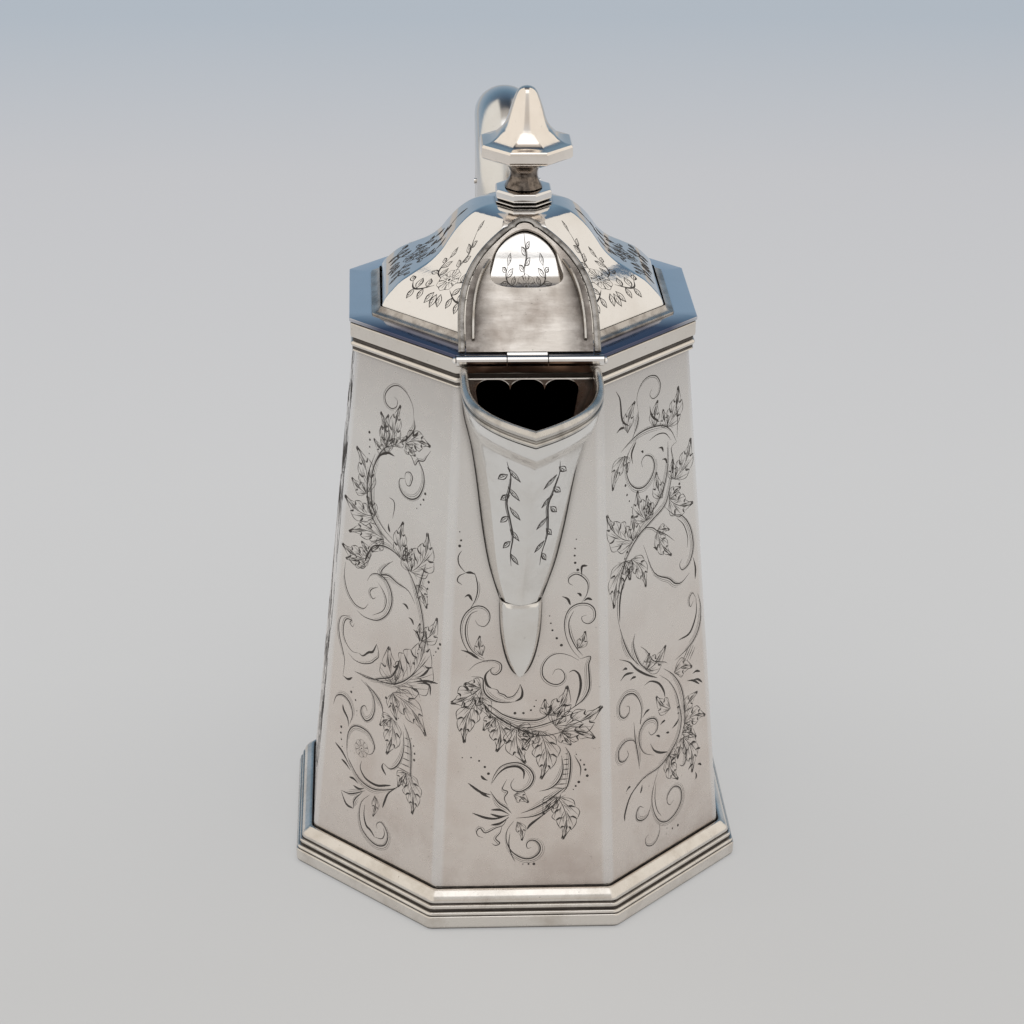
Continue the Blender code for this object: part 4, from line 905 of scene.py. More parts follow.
FRONT_STROKES = """
s -16.7,82 -14.2,84.2 -10.1,85.2 -7.3,84.2 -7.1,82 -8.6,80.6 -10,81.2 -10,82.6 -8.9,82.9
t -10,82.6 -11.4,81.1 -11.8,79.5 -11.1,77.3 -9.8,76.3
s -9.8,76.3 -8.2,75.8 -7.6,74.8 -6.1,74.2 -5.1,73.4 -3.3,73.9 -2,75.8 -1.5,77.5
t -1.5,77.5 -0.8,75.4 -1.1,73.2 -2.9,72
m -2.9,72 -5.8,71.7 -8.9,72.3 -11.4,74.2 -12.3,76.4 -12.6,79.5 -15.8,80.1
l -13,76.4 -22,71.7 3.2,0.06 4
l -13.5,73.5 -17.8,58.8 2.6,-0.1 5
m -12.3,72 -8.9,69.8 -6.4,67.9 -2,66.3 3,65.9 6.1,67 7.4,68.9 7.7,71.1
t 6.1,67 7.4,68.9 7.7,71.1
l 7.2,67.5 12.4,77 2.2,-0.16 3
s -5.1,65.8 -0.1,63.6 5.5,64.5 11.8,67 18,69.2
m -14.8,75.1 -11.4,70.1 -7,66.4 -0.5,62.6 6,61 13,62.6
l -8.6,67 -8.3,55.8 2.6,0.12 4
l -2.2,64 0.5,52 2.9,-0.1 4
l 4.4,62.5 5,46.7 3,0.12 5
l 9,64 23,70.4 3.2,-0.12 4
l 11,62 21.1,59.8 2.5,0.12 3
s 15.8,84.8 13,86.4 9.9,87.1 7.1,86.1 5.2,83.3 5.2,80.1 7.1,77.9 9.6,77.3 11.4,78.6 11.6,80.4 10.5,82 8.9,82 8,80.4
m 16.1,85.3 19.1,86.1 18.6,83.3 18.9,79.5 18.9,75.8 17.4,72.6 15,70.4 11,67.6
t 12.9,81.1 14.3,81.7 15.8,80.4 16.4,77.6 16.1,74.5 14.9,70.4
m 12.1,57.3 13.6,54.5 13.8,49.5 13,44.5 11.1,42
m 11.1,54.5 11.6,50.1 10.5,46.4 8,43.9 4.6,42.9
s 14.9,54.5 16.8,50.8 16.8,47.6
m 11.1,42 10.5,40.1 7.4,37 3,34.8 -2.3,34.2
m 13,44.5 10.5,42.6 6.8,39.5 2.4,37 -0.8,35.8
t 7.4,36.4 4.3,33.9 2.1,32 1.1,30.4
l 10,41 11.8,26.9 3,0.14 5
s 12.2,55 12.9,55 
s 11.7,53 13.4,53.4
s 11.7,51.4 13.5,51.8
s 11.6,49.8 13.5,50.2
s 11.2,48.2 13.4,48.6
s 10.6,46.6 13.3,47
s 9.6,45 12.9,45.4
s 8.4,43.9 12.4,43.9
m -9.8,45.4 -8.9,48.3 -7,51.1 -3.9,52.3 -0.8,52 1.8,50.1 2.9,47.6 2.1,45.1 0.5,43.6 -1.4,42.9 \
-3.3,43.6 -3.9,45.4 -2.9,47.3
t -9.5,45.8 -7.6,48.9 -5.1,50.8 -2,51.1 -0.1,49.5 -0.1,47
m -10.1,43.3 -7.6,39.5 -5.1,37.6 -3.6,35.8
t -9.8,42 -13,43 -16.7,45.9
t -10.1,41.1 -11.6,41.9 -13.3,42.9
t -10.8,46.7 -12,47.3 -12.9,48.3
s -5.1,47 -6.4,43.9 -4.8,42.9 -5.8,40.8 -4.8,38.3
l -3,41.8 1.5,39.2 1.4,0.1 3
t -4.2,35.4 -8,34.2 -11.4,34.5 -15.4,36.1
t -4.4,35.6 -7,37 -9.8,37
t -4.6,35.2 -7,34.8 -10,35.7
t -4.4,34.6 -7,32.6 -9.8,32
s -4.8,34.6 -6.1,32 -8.3,31.1 -11.4,29.5 -12.9,31.1 -14,30.1 -13.6,28.6 -12,27.9
s -6.4,31.7 -7,29.5 -8.3,27.6 -7,26.1 -8.3,25.3 -9.5,26.1
l -1.9,33 -0.4,26.7 1.1,0.1 3
m -2.9,33.3 -4.8,30.4 -5.1,27 -3.9,23.9 -2,22 0.5,20.8 3,21.1 4.9,22.9 5,25.1 3.6,26.7 1.8,26.7 \
1,25.4 1.4,24.2 2.5,24.5
s -4,29.5 -4.3,25.6 -3.4,22 -2.3,19.8
d 0,19 1.7,19 3.3,19
d -18.4,54.2 -15.8,54.2 -13.4,53.1 -11.7,51.1 -10.6,48.9
e -2.9,68.3 -0.4,68.3 1.8,69.2 2.8,70.4 3.3,72.3
d 15.5,54.8 16.8,52.9 17.9,51.4 18.3,49.8 18.9,47.8
e 16.4,45.8 15.5,44.5 14.8,43.4
d 6.9,98.9 7.3,96.6 7.8,94.4 9.1,91.9 10.5,89.7
s -10.4,84.6 -15.1,86.3 -17.6,89.4 -18.9,93.1 -18.9,96.9 -17.6,100 -15.1,102 -12.6,102 -10.8,100.3 \
-10.6,97.8 -12,95.9 -13.9,96.3 -14.8,97.8
s -12,85.6 -15.4,88 -17.3,91.6 -17.6,96 -16.2,99.6 -14,100.8
s -16.7,100.6 -14.8,104.1 -14.1,107.5 -14.5,110.6 -15.1,112.5
t -14.8,112 -16.2,112.6 -17.6,112.5
s -17.6,112.5 -19.5,111.6 -20,110 -18.6,108.8
s -17.6,112.5 -19.5,115 -19.8,117.5 -18.8,119.4
t -17.9,105 -16.7,105.6 -15.6,103.8
d -19.4,125.1 -19,122.5 -19.4,120.8
l -12.6,86.6 -13.4,93 1.1,0.1 3
t -18.9,88.5 -16.4,87.6 -13.6,85.8
s 16.1,85.3 13.6,88.4 11.8,92.5 11.3,96.9 12.4,100.6 14.9,102.5 18,102.6 20,100.9 20.2,98.1 \
18.6,96.4 16.8,96.9 16.3,98.4 17.7,99.1
s 16.9,86.3 14.8,89 13,93 12.6,97 13.9,100.4
s 16.1,102.8 17.7,105.6 17.9,108.8 16.4,110.9 14.3,111.8 12.4,110.6 12.4,109.1 13.6,108.3
t 16.1,111.3 16.1,114.1 17.7,114.4
t 10.5,104.9 12.1,104.1 13,102.2
t 14.8,105.9 15.6,105.6 16.1,104.9
t 16.8,103.4 18,104.2 19.3,103.8
d 14.3,122.5 14,119.7 13.9,117.5 14.1,115.3 14.9,113.1
l 15.2,88.6 17.4,94.1 1.1,-0.1 3
"""

LEFT_STROKES = """
s -14.2,84.2 -14.8,82.9 -16.1,83.9 -15.4,84.8 -17.6,84.5 -18.6,82 -18.3,78.9 -16.7,76.4 -14.2,75 -11.4,75.4
t -11.4,75.4 -9.8,75.1 -7.6,77 -5.8,77.9 -4.5,80.8
s -4.5,80.8 -3.6,78.9 -3.4,77 -4.8,75.4 -6.4,73.9 -9.8,72.6 -13.3,72.6 -15.8,73.9
s -15.8,86.1 -19.5,84.8 -20.6,82 -20.1,78.3 -18.3,73.9 -17.3,70.8 -17.6,65.8
t -17.6,65.8 -15.4,65.4 -13.6,66.7
m -12.9,68.9 -6.4,68.8 -2,70.4 2.4,72.6 4.3,75.8 5.2,79.2
t 2.4,72.6 4.3,75.8 5.2,79.2
l 4,70.4 14.5,92 5.4,-0.16 6
m -12.9,68.9 0.5,69.8 6.1,72 10.5,75.8 13.6,79.5
t 13,76.1 15.4,78 17.4,80.8
t 11.1,73.9 16.1,76.1 21.1,77.1
t 13,74.2 16,75.3 18,75.1 18.5,72.3
s 9.9,71.7 13,72.1 14.3,70.1
d 12.7,85 12.3,83.6 11.7,82.2 11.1,80
l 3.4,67.6 18,58.6 3.2,0.12 4
e 0.8,65.1 3,64 4.9,62.6 6.4,60.4
m -8.3,67 -3.9,64.8 -0.8,62 0.3,58.3
m -10.1,67.3 -5.8,65.1 -3.6,61.4 -4.2,57 -6.7,54.7 -8.9,56.1 -9,58.3 -7.6,59.4 -6.5,57.9
l 3.6,59.5 2.4,46.9 2.8,0.1 4
m 8.6,59.5 10.5,57 12.1,53.3 12.7,48.3 13,43.9 14.3,42
m 8.6,57 9.4,52 8.6,47.6 6.8,44.5 4.3,42.8 1.4,43.6
t 1.4,43.6 1.1,42 3,40.1
s 9.3,55 11.3,55.2
s 9.5,52.6 12.1,52.9
s 9.4,50.4 12.4,50.7
s 8.9,48.2 12.6,48.5
s 8.2,46.2 12.8,46.5
s 6.9,44.5 13,44.5
d 12.1,55.8 13.3,53.8 13.9,51.5 13.9,49.4
l 11,44 14.6,31.5 2.9,0.12 5
m -13.6,40.1 -14.2,43.9 -13.8,48.3 -11.7,51.1 -8.3,51.8 -4.8,50.8 -2.6,47.6 -3.3,45.1 -5.1,43.9
f -7.9,45 -4.9,45
m -13.6,40.1 -12,38.3 -8.3,34.8 -3.9,33.6 0.5,34.2 7.4,37.6 11,43
t -7.6,40.8 -7.9,38.3 -5.4,35.8 -0.8,35.3 3,36.7 5.2,37.6
t 7.4,37.6 4.3,34.5 3,31.1 2.4,28.9
t -13.9,50.1 -14.5,52.6 -16.4,54.8 -17,56.4
m -13.6,51 -12.6,54.5 -13.9,57.9 -17,59.5 -19.8,58.3 -20.9,55.1
e -13.7,61.8 -11.7,59.8 -10.9,56.5
d -16.1,42.6 -16.6,44.8 -17,46.9 -17,48.9
t -12,37 -15.8,40.8 -19.2,42.8
t -12,36 -14.2,37.6 -16.1,38.3
t -8.3,32.9 -10.4,33.8 -12.3,33.6
t -5.8,32.3 -8,31.3 -10.4,31.5
m -5.4,31.7 -8.9,29.5 -12,28.1 -15.4,27.9
t -15.4,27.6 -12.9,24.2 -9.8,23.9
m -9.8,23.9 -9.5,27 -6.4,30.8
m -3.3,31.1 -6.4,27.6 -7.1,23.3 -5.8,18.9 -2.6,16.4 1.1,15.6 4.3,17 5.4,20.1 4.3,22.6 2.1,23.9 0.4,22.6 0.8,21.2
t -5.1,27 -5.1,23.3 -3.9,20.4 -2,19.5 0,17.9
s 0,17.9 3,18.6 3.9,20.6 3.3,22.3
l -1.2,31.6 -1.4,24.4 1.1,0.1 3
s 4.3,154.6 3.6,158 1.1,161.1 -2.3,162.5 -5.4,161.4 -7.5,158.6 -7,156.1 -4.8,155 -2.8,156.1 -2.6,158 -3.9,158.8
l -2.4,144.4 -1.1,157.1 1.9,0.08 4
m 4.3,154.6 4.9,151.8 3,148.6 0,145.6
l -5.6,140.6 -9,153 2,-0.1 4
l -6,143 -5.6,153 1.5,0.1 3
l 1.8,146.2 11.7,148 2.4,0.12 4
t 4.3,149.3 5.6,149.9 6.4,151
s 11.8,146.8 10.5,144.9 9.3,143 7.1,142.4 6,140.8 4.3,143 1.1,144.1
m 6.4,143.4 7.4,142.4 9.6,139.3 9.9,135.5 8.3,131.8 5.5,130.1 2.4,130.5 0.4,132.7 0.5,134.9 2.4,135.6
s 2.4,135.6 2.6,137.4 4.3,138 5.4,136.8 5.2,135.5 4.6,134 3.3,133.9 2.4,135.6
d 7.9,128 9.3,129.6 10.3,131.4 10.8,133.4
m -0.1,115.2 -5.1,118 -8.9,121.8 -10.3,125.5 -10.9,130.5 -10.4,134.9 -8.3,139.9 -5.1,143.3 -0.1,144.4
m -0.1,113.5 -6,116.4 -10.3,121 -12.2,127 -12.2,133 -10,139.6
t -10.1,135.5 -8.3,139.3 -5.1,141.3 -2.3,141.1
l -12.6,126.4 -17.9,139.7 2.7,-0.14 4
d -12.5,138.9 -12.4,141 -12.5,143.2 -12.9,145.4
l -8.8,120.4 -21.4,123.3 2.6,0.14 4
l -4.5,114.6 -18.9,112.4 2.2,-0.1 4
l -9.5,106.6 -21.4,107.9 2.5,0.12 4
l -11,103.6 -19.5,103.6 1.6,-0.1 3
m 4.3,109.9 0.5,111.8 -3.9,112.4 -8.3,111.1 -10.4,108 -11.4,105.2
t -8.3,111.1 -10.4,108 -11.4,105.2
l 7.4,108 12.7,122.1 3.4,-0.16 5
l 3.6,110.8 3,122.4 2.2,0.1 4
l 9.6,104.6 14.6,98.6 1.8,0.1 3
m 10.5,101.8 11.4,106 13,112.4
s -3.3,128 -1.4,127.4 -0.9,125.5 -1.4,122
t -2.9,119.9 -2.7,118.6 -2,117.4
e 14.6,107.1 14.3,104.9 14.4,102.4 14.9,100.2
m -0.1,108.9 -2.3,107.1 -4.2,104.9 -4.5,103.3 -1.4,103.9 2.4,102.7 6.8,101.8 9.9,98.6
m 4.3,109.9 8,106 10.5,101.8 13,96 14,90 12,84
s -19.4,102.4 -19.5,98 -17.9,93.6 -14.5,90.5 -10.8,90.2 -8.9,92.4
m -10.1,99.3 -8.3,102.1 -5.1,103 -2,101.8 0.2,98.6 0.4,94.9 -1.4,91.1 -5.1,88.3 -10.1,87.7 -13.3,88.6
s -5.4,100.2 -2.9,98 -1.7,95.5 -2.9,92.1 -7,89.3
s -5.4,98.9 -7.6,97.7 -8.6,96.1 -7.3,94.6 -6,95.4
l 13.4,88 18.9,97.4 2,-0.14 3
t 4.9,97.1 6.2,97 7.4,96.1
t 7.7,93.6 9,93.2 9.9,92
t 9.9,90.5 11.8,89.6 13,87.4
e 20.8,89.5 20.2,88 19.4,86.6 18.6,85.2
"""

RIGHT_STROKES = """
t -17,82.6 -12.6,80.1 -9.5,76.7 -5.1,73.3 -0.1,70.4
t -17,75.6 -14.5,76.8 -10.8,76.1
t -12.6,74.2 -11.2,74.6 -9.8,74.3
t -15.8,78.6 -14.7,78.8 -13.6,78.3
m -9.5,88.3 -10.4,85.1 -9.5,81.4 -7,77 -2,73.3
m -16,92 -14.5,87 -12,82 -8.3,77.6
l -5,74.6 4.6,79.5 2.3,-0.14 3
s -7.3,83.3 -5.1,81.4 -3.6,79.5 -1.4,76.4 3.6,74.2 4.9,73.3
s 19.6,89.5 18,91.7 16.3,90.1 16.8,87.6 18.3,88.9
t 19.6,89.5 19.6,85.1 18,81.4 15.5,79 10.5,78.8
m 20.5,90.8 21.8,85.8 20.8,80.1 18,76.4 13.6,74.2 8.6,72.9
s 12,71 15.6,75.2
s 13.2,70.8 16.6,75
s 14.4,70.6 17.6,74.6
s 15.6,70.4 18.4,73.8
m 1.1,70.8 5.5,67 8.6,62 9.9,57 10.5,52 8.6,47 4.3,43.3 -0.8,40.8 -8.3,40.1 -14.5,37 -17.6,32
m 3.1,72.2 7.6,68.4 11,63 12.2,57 12,50.6 9.6,45.6
t -8.3,40.1 -14.5,37 -17.6,32 -17.8,29.5
l 8,69 16.8,67.6 2.2,0.12 3
t 14,64 17,63 19.9,60.8
t 16.8,65.4 18.6,65.6 20.5,64.8
t 16.8,63.3 19.2,62.6 21.4,60.8
t -6.1,70.1 -3.3,70.4 0.5,68.3 2.7,65.1 3.3,62.6
m -7.9,60.4 -8.9,58.3 -7.9,62.6 -8.9,66.4 -11.4,69.4 -15.1,70.1 -17.9,67.9 -17.9,64.8 -15.8,63.1 \
-13.7,64.2 -13.6,66.1 -14.8,66.4
m -10.8,52 -12.6,54.5 -16.1,55.3 -19.2,53.6 -19.2,50.4 -17,49.2 -14.9,50.4 -15.4,52.3
m -3.3,45.8 -7.6,48.3 -9.5,52 -9.2,55.8 -6.4,58.3 -2.6,57.9 -0.8,55.8 -1.4,53.3 -3.9,52.8 -5.1,54.5
m -10.1,43.9 -10.4,48.3 -11.4,54.5 -11.7,60.1
t -7.6,60.1 -5.8,61.3 -4.2,61.5
t -4.5,50.1 -2.9,47.3 -0.1,45.4 3.6,44.2
t 0.5,54.5 1.8,55 3,55.1
t -1.7,51.7 -0.7,51.3 0.2,50.6
t 3,50.8 3.8,50.6 4.6,50.3
t 6.1,51.1 7.8,51.8 9.3,52.9
l 12.2,54 19,58.6 1.8,0.12 3
l 12,50.6 22.4,49.2 2.4,0.12 4
l 5.6,58 -1,64.6 2,0.1 3
l 10.6,47.6 17.6,43.6 1.7,0.1 3
d 9,53 9.2,55 9.3,57
t 14,42 15.4,42.6 16.8,42.6
t 16.8,39.5 18,39.6 19.3,39.2
t 13,34.2 14.2,35 15.5,35.4
t 17.7,34.2 18.7,34 19.6,33.3
t 16.5,32 16.9,30.7 16.6,29.5
l 11.4,46 14.8,32.4 2.6,0.14 4
l 4,42.8 8.2,33 2.2,-0.12 4
t 5.2,38.3 5.2,40.4 7.4,41.1
m 10.5,45.1 12.1,42 12.1,38.3 10.5,36.7 8.9,37.6
m -0.8,40.8 -3.3,36.4 -4.8,31.4 -3.9,26.4 -1.4,22.6 2.4,21.1 6.8,22.6 9.3,25.8 8.9,29.5 6.1,31.4 \
3.3,30.4 2.3,27.9 3.6,26.1 5.5,27
s -2.6,36.4 -3.4,31.4 -2.6,27 -0.6,24
m -5.1,30.1 -7,27 -9.5,26.4 -12,27.6 -12.3,29.8 -10.8,31.4 -8.9,30.4
s -2,22.6 -1.7,19.5 -3.3,17 -5.8,16.1 -8.3,17.3 -8.6,19.5 -7,20.4
d 1.8,18.8 4.4,17.6 7.1,17.6
t -16.7,38.9 -15.4,39.8 -14.5,39.8
t -9.2,38.2 -9.4,37 -10.1,35.7
s -3.9,156.1 -4.2,160.5 -2,163.9 1.4,165.2 4.9,164.3 6.6,161.4 5.5,158.6 3,158 1.6,159.6 2.7,161.1
t -13.3,164.8 -11.7,161.8 -11.1,155.5 -8.3,153
l -9,151 -5,159.6 1.8,0.12 3
t -13.8,152.4 -12,153.2 -10.1,153
m -12.3,146.1 -8.3,148 -3.9,149.3 1.1,149.6 6.8,148.6 10.5,146.1 13,141.8
s 0.5,145.8 4.3,146.6 8,145.8 10.5,143
m -3.9,156.1 -4.4,152.6 -7,148.6
l 9,147.6 14.6,158.6 2.6,-0.14 4
l 3.4,149.2 5.2,157 1.7,0.1 3
s 14.6,158 13.6,152.4 13.9,149.3 13.3,143
t 1.4,156.1 2.1,153 5.5,150.2
m -4.5,148.6 -8.9,144.9 -10.3,140.5 -9.2,136.1 -6.4,133.3 -2.6,132.5 0.8,134.3 2.5,137.4 1.4,140.5 \
-1.4,141.8 -3.3,140.5 -2.9,138.6
l -10.6,144.4 -16.7,135.5 1.9,-0.12 3
t -7.3,141.1 -7.6,144.3 -5.4,147.4
t -3.3,143.6 -2.8,143.5 -2.3,143
e -10.9,135.5 -10.4,132.4 -9.5,130.2 -8.6,128
t 4.6,142.3 6.2,141.9 6.8,140.5
t 6.1,138.3 7.6,137.9 8.3,136.4
m 13,141.8 10.5,140.5 11.1,135.5 8.6,127.4 6.1,123.6 0.5,121.1 -6.4,118 -12,113 -15.4,106 -17,98 -15.8,90.5
m 9,143 8.6,136 6.4,129.6 1.6,124.4 -6,120
l 11.6,130.4 19.6,141.1 2.8,-0.14 4
l 8.6,125 19.9,120.5 2.8,-0.12 4
e 13.6,128.3 12.4,127 11.4,126.4
l 5.6,126.4 3.2,135.4 2,0.1 3
l -2.4,121.8 -5.6,132.4 2.5,0.12 4
l 1,122.6 -1.6,129.6 1.6,0.1 3
l -8.6,117.4 -19.8,129.3 3.4,0.14 5
l -12.8,112.4 -18.4,99.3 3,-0.1 4
t -8.3,108.9 -12,107.4 -14.5,104.3 -15.8,99.9 -16.1,94.3
e -11.4,114.9 -12.6,113.2 -13.6,111.1
s -7,118 -3.3,119.6 0.5,118.6 2.4,117.1 6.8,114.3 10.5,111.1
t 0.5,112.4 1.6,111.8 2.4,110.8
m 6.1,123.6 10.5,119.6 14.3,118 17.4,114.3 18.9,109.9 18.9,105.5 16.8,101.8 13.6,100.8 12.4,102.8 13.6,104.2
s 11.8,118 14.9,114.9 16.6,110.5 16.3,107.1
t 18.9,103 19.8,99.4 19.6,95.8
m -4,114.6 0.4,104.4 7.1,100.2 9.9,97.7 13,96.9 16.8,98.6
l -9.6,112 -3.6,101 2.2,0.12 4
l 2.6,117 9,107 2,-0.1 4
"""

PEN_WIDTHS = {"s": 0.62, "m": 0.82, "t": 1.35}


def stroke(sheet, points, width, thick_at=0.5):
    """A tapered cut as a closed sliver with three sides, drawn through points on a sheet."""
    line = through(points, 4 if len(points) > 2 else 2)
    last = len(line) - 1
    rings = []
    for i, point in enumerate(line):
        along = line[min(i + 1, last)] - line[max(i - 1, 0)]
        side = Vector((-along.y, along.x)).normalized()
        t = i / last
        bend = t ** (math.log(0.5) / math.log(thick_at))
        half = 0.5 * width * (0.16 + 0.84 * math.sin(math.pi * bend) ** 0.8)
        left, right = point + side * half, point - side * half
        rings.append([(left.x, left.y, -0.03), (right.x, right.y, -0.03), (point.x, point.y, 0.04)])
    add_to(sheet, loft(rings))


def add_to(sheet, shape):
    start = len(sheet[0])
    sheet[0].extend(shape[0])
    sheet[1].extend(tuple(start + i for i in face) for face in shape[1])


def dot(sheet, x, z, radius):
    ring = [(x + radius * math.cos(math.pi * i / 4), z + radius * math.sin(math.pi * i / 4)) for i in range(8)]
    top = [(x + 0.5 * (a - x), z + 0.5 * (b - z), 0.04) for a, b in ring]
    add_to(sheet, loft([[(a, b, -0.03) for a, b in ring], top]))


def leaf(sheet, base, tip, half_width, bend, lobes):
    """An acanthus leaf: a curved rib, lobed edges shaded at their notches, veins and fine hatching."""
    base, tip = Vector(base), Vector(tip)
    pen = min(1.0, 0.35 + 0.26 * half_width)
    span = tip - base
    square = Vector((-span.y, span.x))
    middle = (base + tip) / 2 + square * bend * 2

    def spine(t):
        return base * (1 - t) ** 2 + middle * 2 * t * (1 - t) + tip * t * t

    def beside(t, offset):
        along = (spine(min(t + 0.02, 1.0)) - spine(max(t - 0.02, 0.0))).normalized()
        return spine(t) + Vector((-along.y, along.x)) * offset

    def reach(t):
        return half_width * (0.35 + 0.65 * math.sin(math.pi * min(t * 1.15, 1.0))) * (1 - t**3)

    stroke(sheet, [spine(0.92 * t / 5) for t in range(6)], 0.42 * pen, 0.3)
    for sign in (-1, 1):
        for lobe in range(lobes):
            start, end = 0.06 + 0.88 * lobe / lobes, 0.06 + 0.88 * (lobe + 1) / lobes
            span_share = end - start
            low_place, high_place = start + 0.22 * span_share, start + 0.66 * span_share
            notch = beside(start, sign * 0.50 * reach(start))
            flank = beside(low_place, sign * 1.16 * reach(low_place))
            shoulder = beside(high_place, sign * 1.46 * reach(high_place))
            point = beside(min(end + 0.05, 1.0), sign * (1.16 * reach(end) + 0.12))
            inward = beside(end, sign * 0.50 * reach(end))
            stroke(sheet, [notch, flank, shoulder, point], 0.44 * pen, 0.75)
            bay = (point + inward) / 2 - (point - notch) * 0.12
            stroke(sheet, [point, bay, inward], 0.95 * pen, 0.45)
            foot = beside(max(start - 0.16, 0.0), sign * 0.10 * reach(start))
            bow = (foot + shoulder) / 2 + (point - shoulder) * 0.15
            stroke(sheet, [foot, bow, (shoulder + point) / 2], 0.34 * pen, 0.35)
            for k in range(4):
                depth = 0.16 + 0.17 * k
                foot = beside(max(start - 0.10 + 0.03 * k, 0.0), sign * depth * 0.5 * reach(start))
                head = beside(high_place - 0.05 * k, sign * (depth + 0.34) * reach(high_place))
                bow = (foot + head) / 2 + (foot - spine(start)) * 0.15
                stroke(sheet, [foot, bow, head], (0.25 - 0.02 * k) * pen)
    curl = 1 if bend > 0 else -1
    hooked = [beside(0.80, curl * 0.5 * reach(0.80)), beside(0.92, curl * 0.9 * reach(0.92)), tip]
    stroke(sheet, hooked, 0.8 * pen, 0.6)


def echo(sheet, points, offset, start, end, width):
    """A finer line that follows part of a stroke at one side of it."""
    line = through(points, 4)
    last = len(line) - 1
    beside = []
    for i in range(int(start * last), int(end * last) + 1, 2):
        along = (line[min(i + 1, last)] - line[max(i - 1, 0)]).normalized()
        swell = math.sin(math.pi * i / last)
        beside.append(line[i] + Vector((-along.y, along.x)) * offset * swell)
    if len(beside) > 2:
        stroke(sheet, beside, width)


def flower(sheet, centre, rim, petals=8):
    centre = Vector(centre)
    radius = (Vector(rim) - centre).length
    for k in range(petals):
        angle = 2 * math.pi * k / petals
        out, side = Vector((math.cos(angle), math.sin(angle))), Vector((-math.sin(angle), math.cos(angle)))
        start = centre + out * 0.3 * radius
        bulge = 0.36 * radius
        tip = centre + out * radius
        stroke(sheet, [start, centre + out * 0.75 * radius + side * bulge, tip], 0.26)
        stroke(sheet, [start, centre + out * 0.75 * radius - side * bulge, tip], 0.26)
        stroke(sheet, [start, centre + out * 0.8 * radius], 0.14)
    ring = [centre + Vector((math.cos(a), math.sin(a))) * 0.27 * radius for a in [math.pi * i / 4 for i in range(9)]]
    stroke(sheet, ring, 0.24)
    dot(sheet, centre.x, centre.y, 0.12 * radius)


def leaflet(sheet, base, tip, shape):
    """A small leaf that springs from the foot of a long one, on its hollow side."""
    base, span = Vector(base), Vector(tip) - Vector(base)
    if span.length < 10:
        return
    turn = math.radians(-42 if shape[1] > 0 else 42)
    end = base + Matrix.Rotation(turn, 2) @ span * 0.5
    if abs(end.x) < 20:
        leaf(sheet, base, end, 0.62 * shape[0], -0.6 * shape[1], 2)


def draw(strokes, keep=lambda point: True):
    """Turns a table of strokes into one sheet of slivers."""
    sheet = ([], [])
    for line in strokes.strip().splitlines():
        pen, *words = line.split()
        pairs = [tuple(float(n) for n in word.split(",")) for word in words if "," in word]
        if not all(keep(pair) for pair in pairs[:2]):
            continue
        if pen == "l":
            leaf(sheet, pairs[0], pairs[1], 1.05 * pairs[2][0], pairs[2][1], max(2, int(words[-1]) - 1))
            leaflet(sheet, pairs[0], pairs[1], pairs[2])
        elif pen == "f":
            flower(sheet, pairs[0], pairs[1])
        elif pen in "de":
            for k, (x, z) in enumerate(pairs):
                share = k / (len(pairs) - 1)
                share = share if pen == "d" else 1 - share
                dot(sheet, x, z, 0.26 + 0.32 * share)
        else:
            stroke(sheet, pairs, PEN_WIDTHS[pen], 0.62 if pen == "t" else 0.5)
            if pen == "s" and len(pairs) > 4:
                echo(sheet, pairs, -0.6, 0.2, 0.8, 0.24)
            if pen == "m":
                echo(sheet, pairs, -0.75, 0.1, 0.85, 0.26)
                echo(sheet, pairs, -1.3, 0.2, 0.7, 0.2)
                echo(sheet, pairs, 0.5, 0.3, 0.8, 0.2)
    return sheet


def facing(degrees):
    """The level direction a facet faces, and the level direction along it."""
    angle = math.radians(degrees)
    out = Vector((math.cos(angle), math.sin(angle), 0.0))
    return out, Vector((-out.y, out.x, 0.0))


def on_body(degrees, mirror=1.0):
    """Places sheet points on a facet of the body."""
    out, across = facing(degrees)
    across *= mirror

    def place(x, z, lift):
        return out * (body_half(z) + lift) + across * x + Vector((0.0, 0.0, z))

    return place


def lay(name, sheet, place, body="pot", material=ENGRAVED):
    """Makes a piece of a sheet of slivers, with each point placed on its surface."""
    points, faces = sheet
    piece(name, ([place(*p) for p in points], faces), material, body)


def engrave_body():
    front, left, right = draw(FRONT_STROKES), draw(LEFT_STROKES), draw(RIGHT_STROKES)
    back = draw(LEFT_STROKES, lambda point: 66.0 < point[1] < 138.0)
    sheets = [("front", front, -90, 1), ("front_left", left, -135, 1), ("front_right", right, -45, 1)]
    sheets += [("left_side", right, 180, 1), ("right_side", left, 0, -1), ("back_left", left, 135, -1)]
    sheets += [("back_right", right, 45, -1), ("back", back, 90, 1)]
    for name, sheet, degrees, mirror in sheets:
        lay(f"engraving_{name}", sheet, on_body(degrees, mirror))


def stain_at_foot():
    """Dark oxide left where the body meets the foot."""
    level = FOOT_HIGH.z + 0.15
    half = body_half(level) * math.tan(FACET / 2) - 1.2
    count = 9
    for name, degrees in zip("abcdefgh", range(0, 360, 45)):
        sheet = ([], [])
        chance = random.Random(degrees)
        for k in range(count):
            start = -half + 2 * half * k / count
            rise = level + chance.uniform(0.0, 0.35)
            end = start + 2 * half / count + 1.0
            stroke(sheet, [(start - 1.0, rise), (start + 3.0, level + 0.1), (end, rise)], 0.7)
        lay(f"foot_stain_{name}", sheet, on_body(degrees))


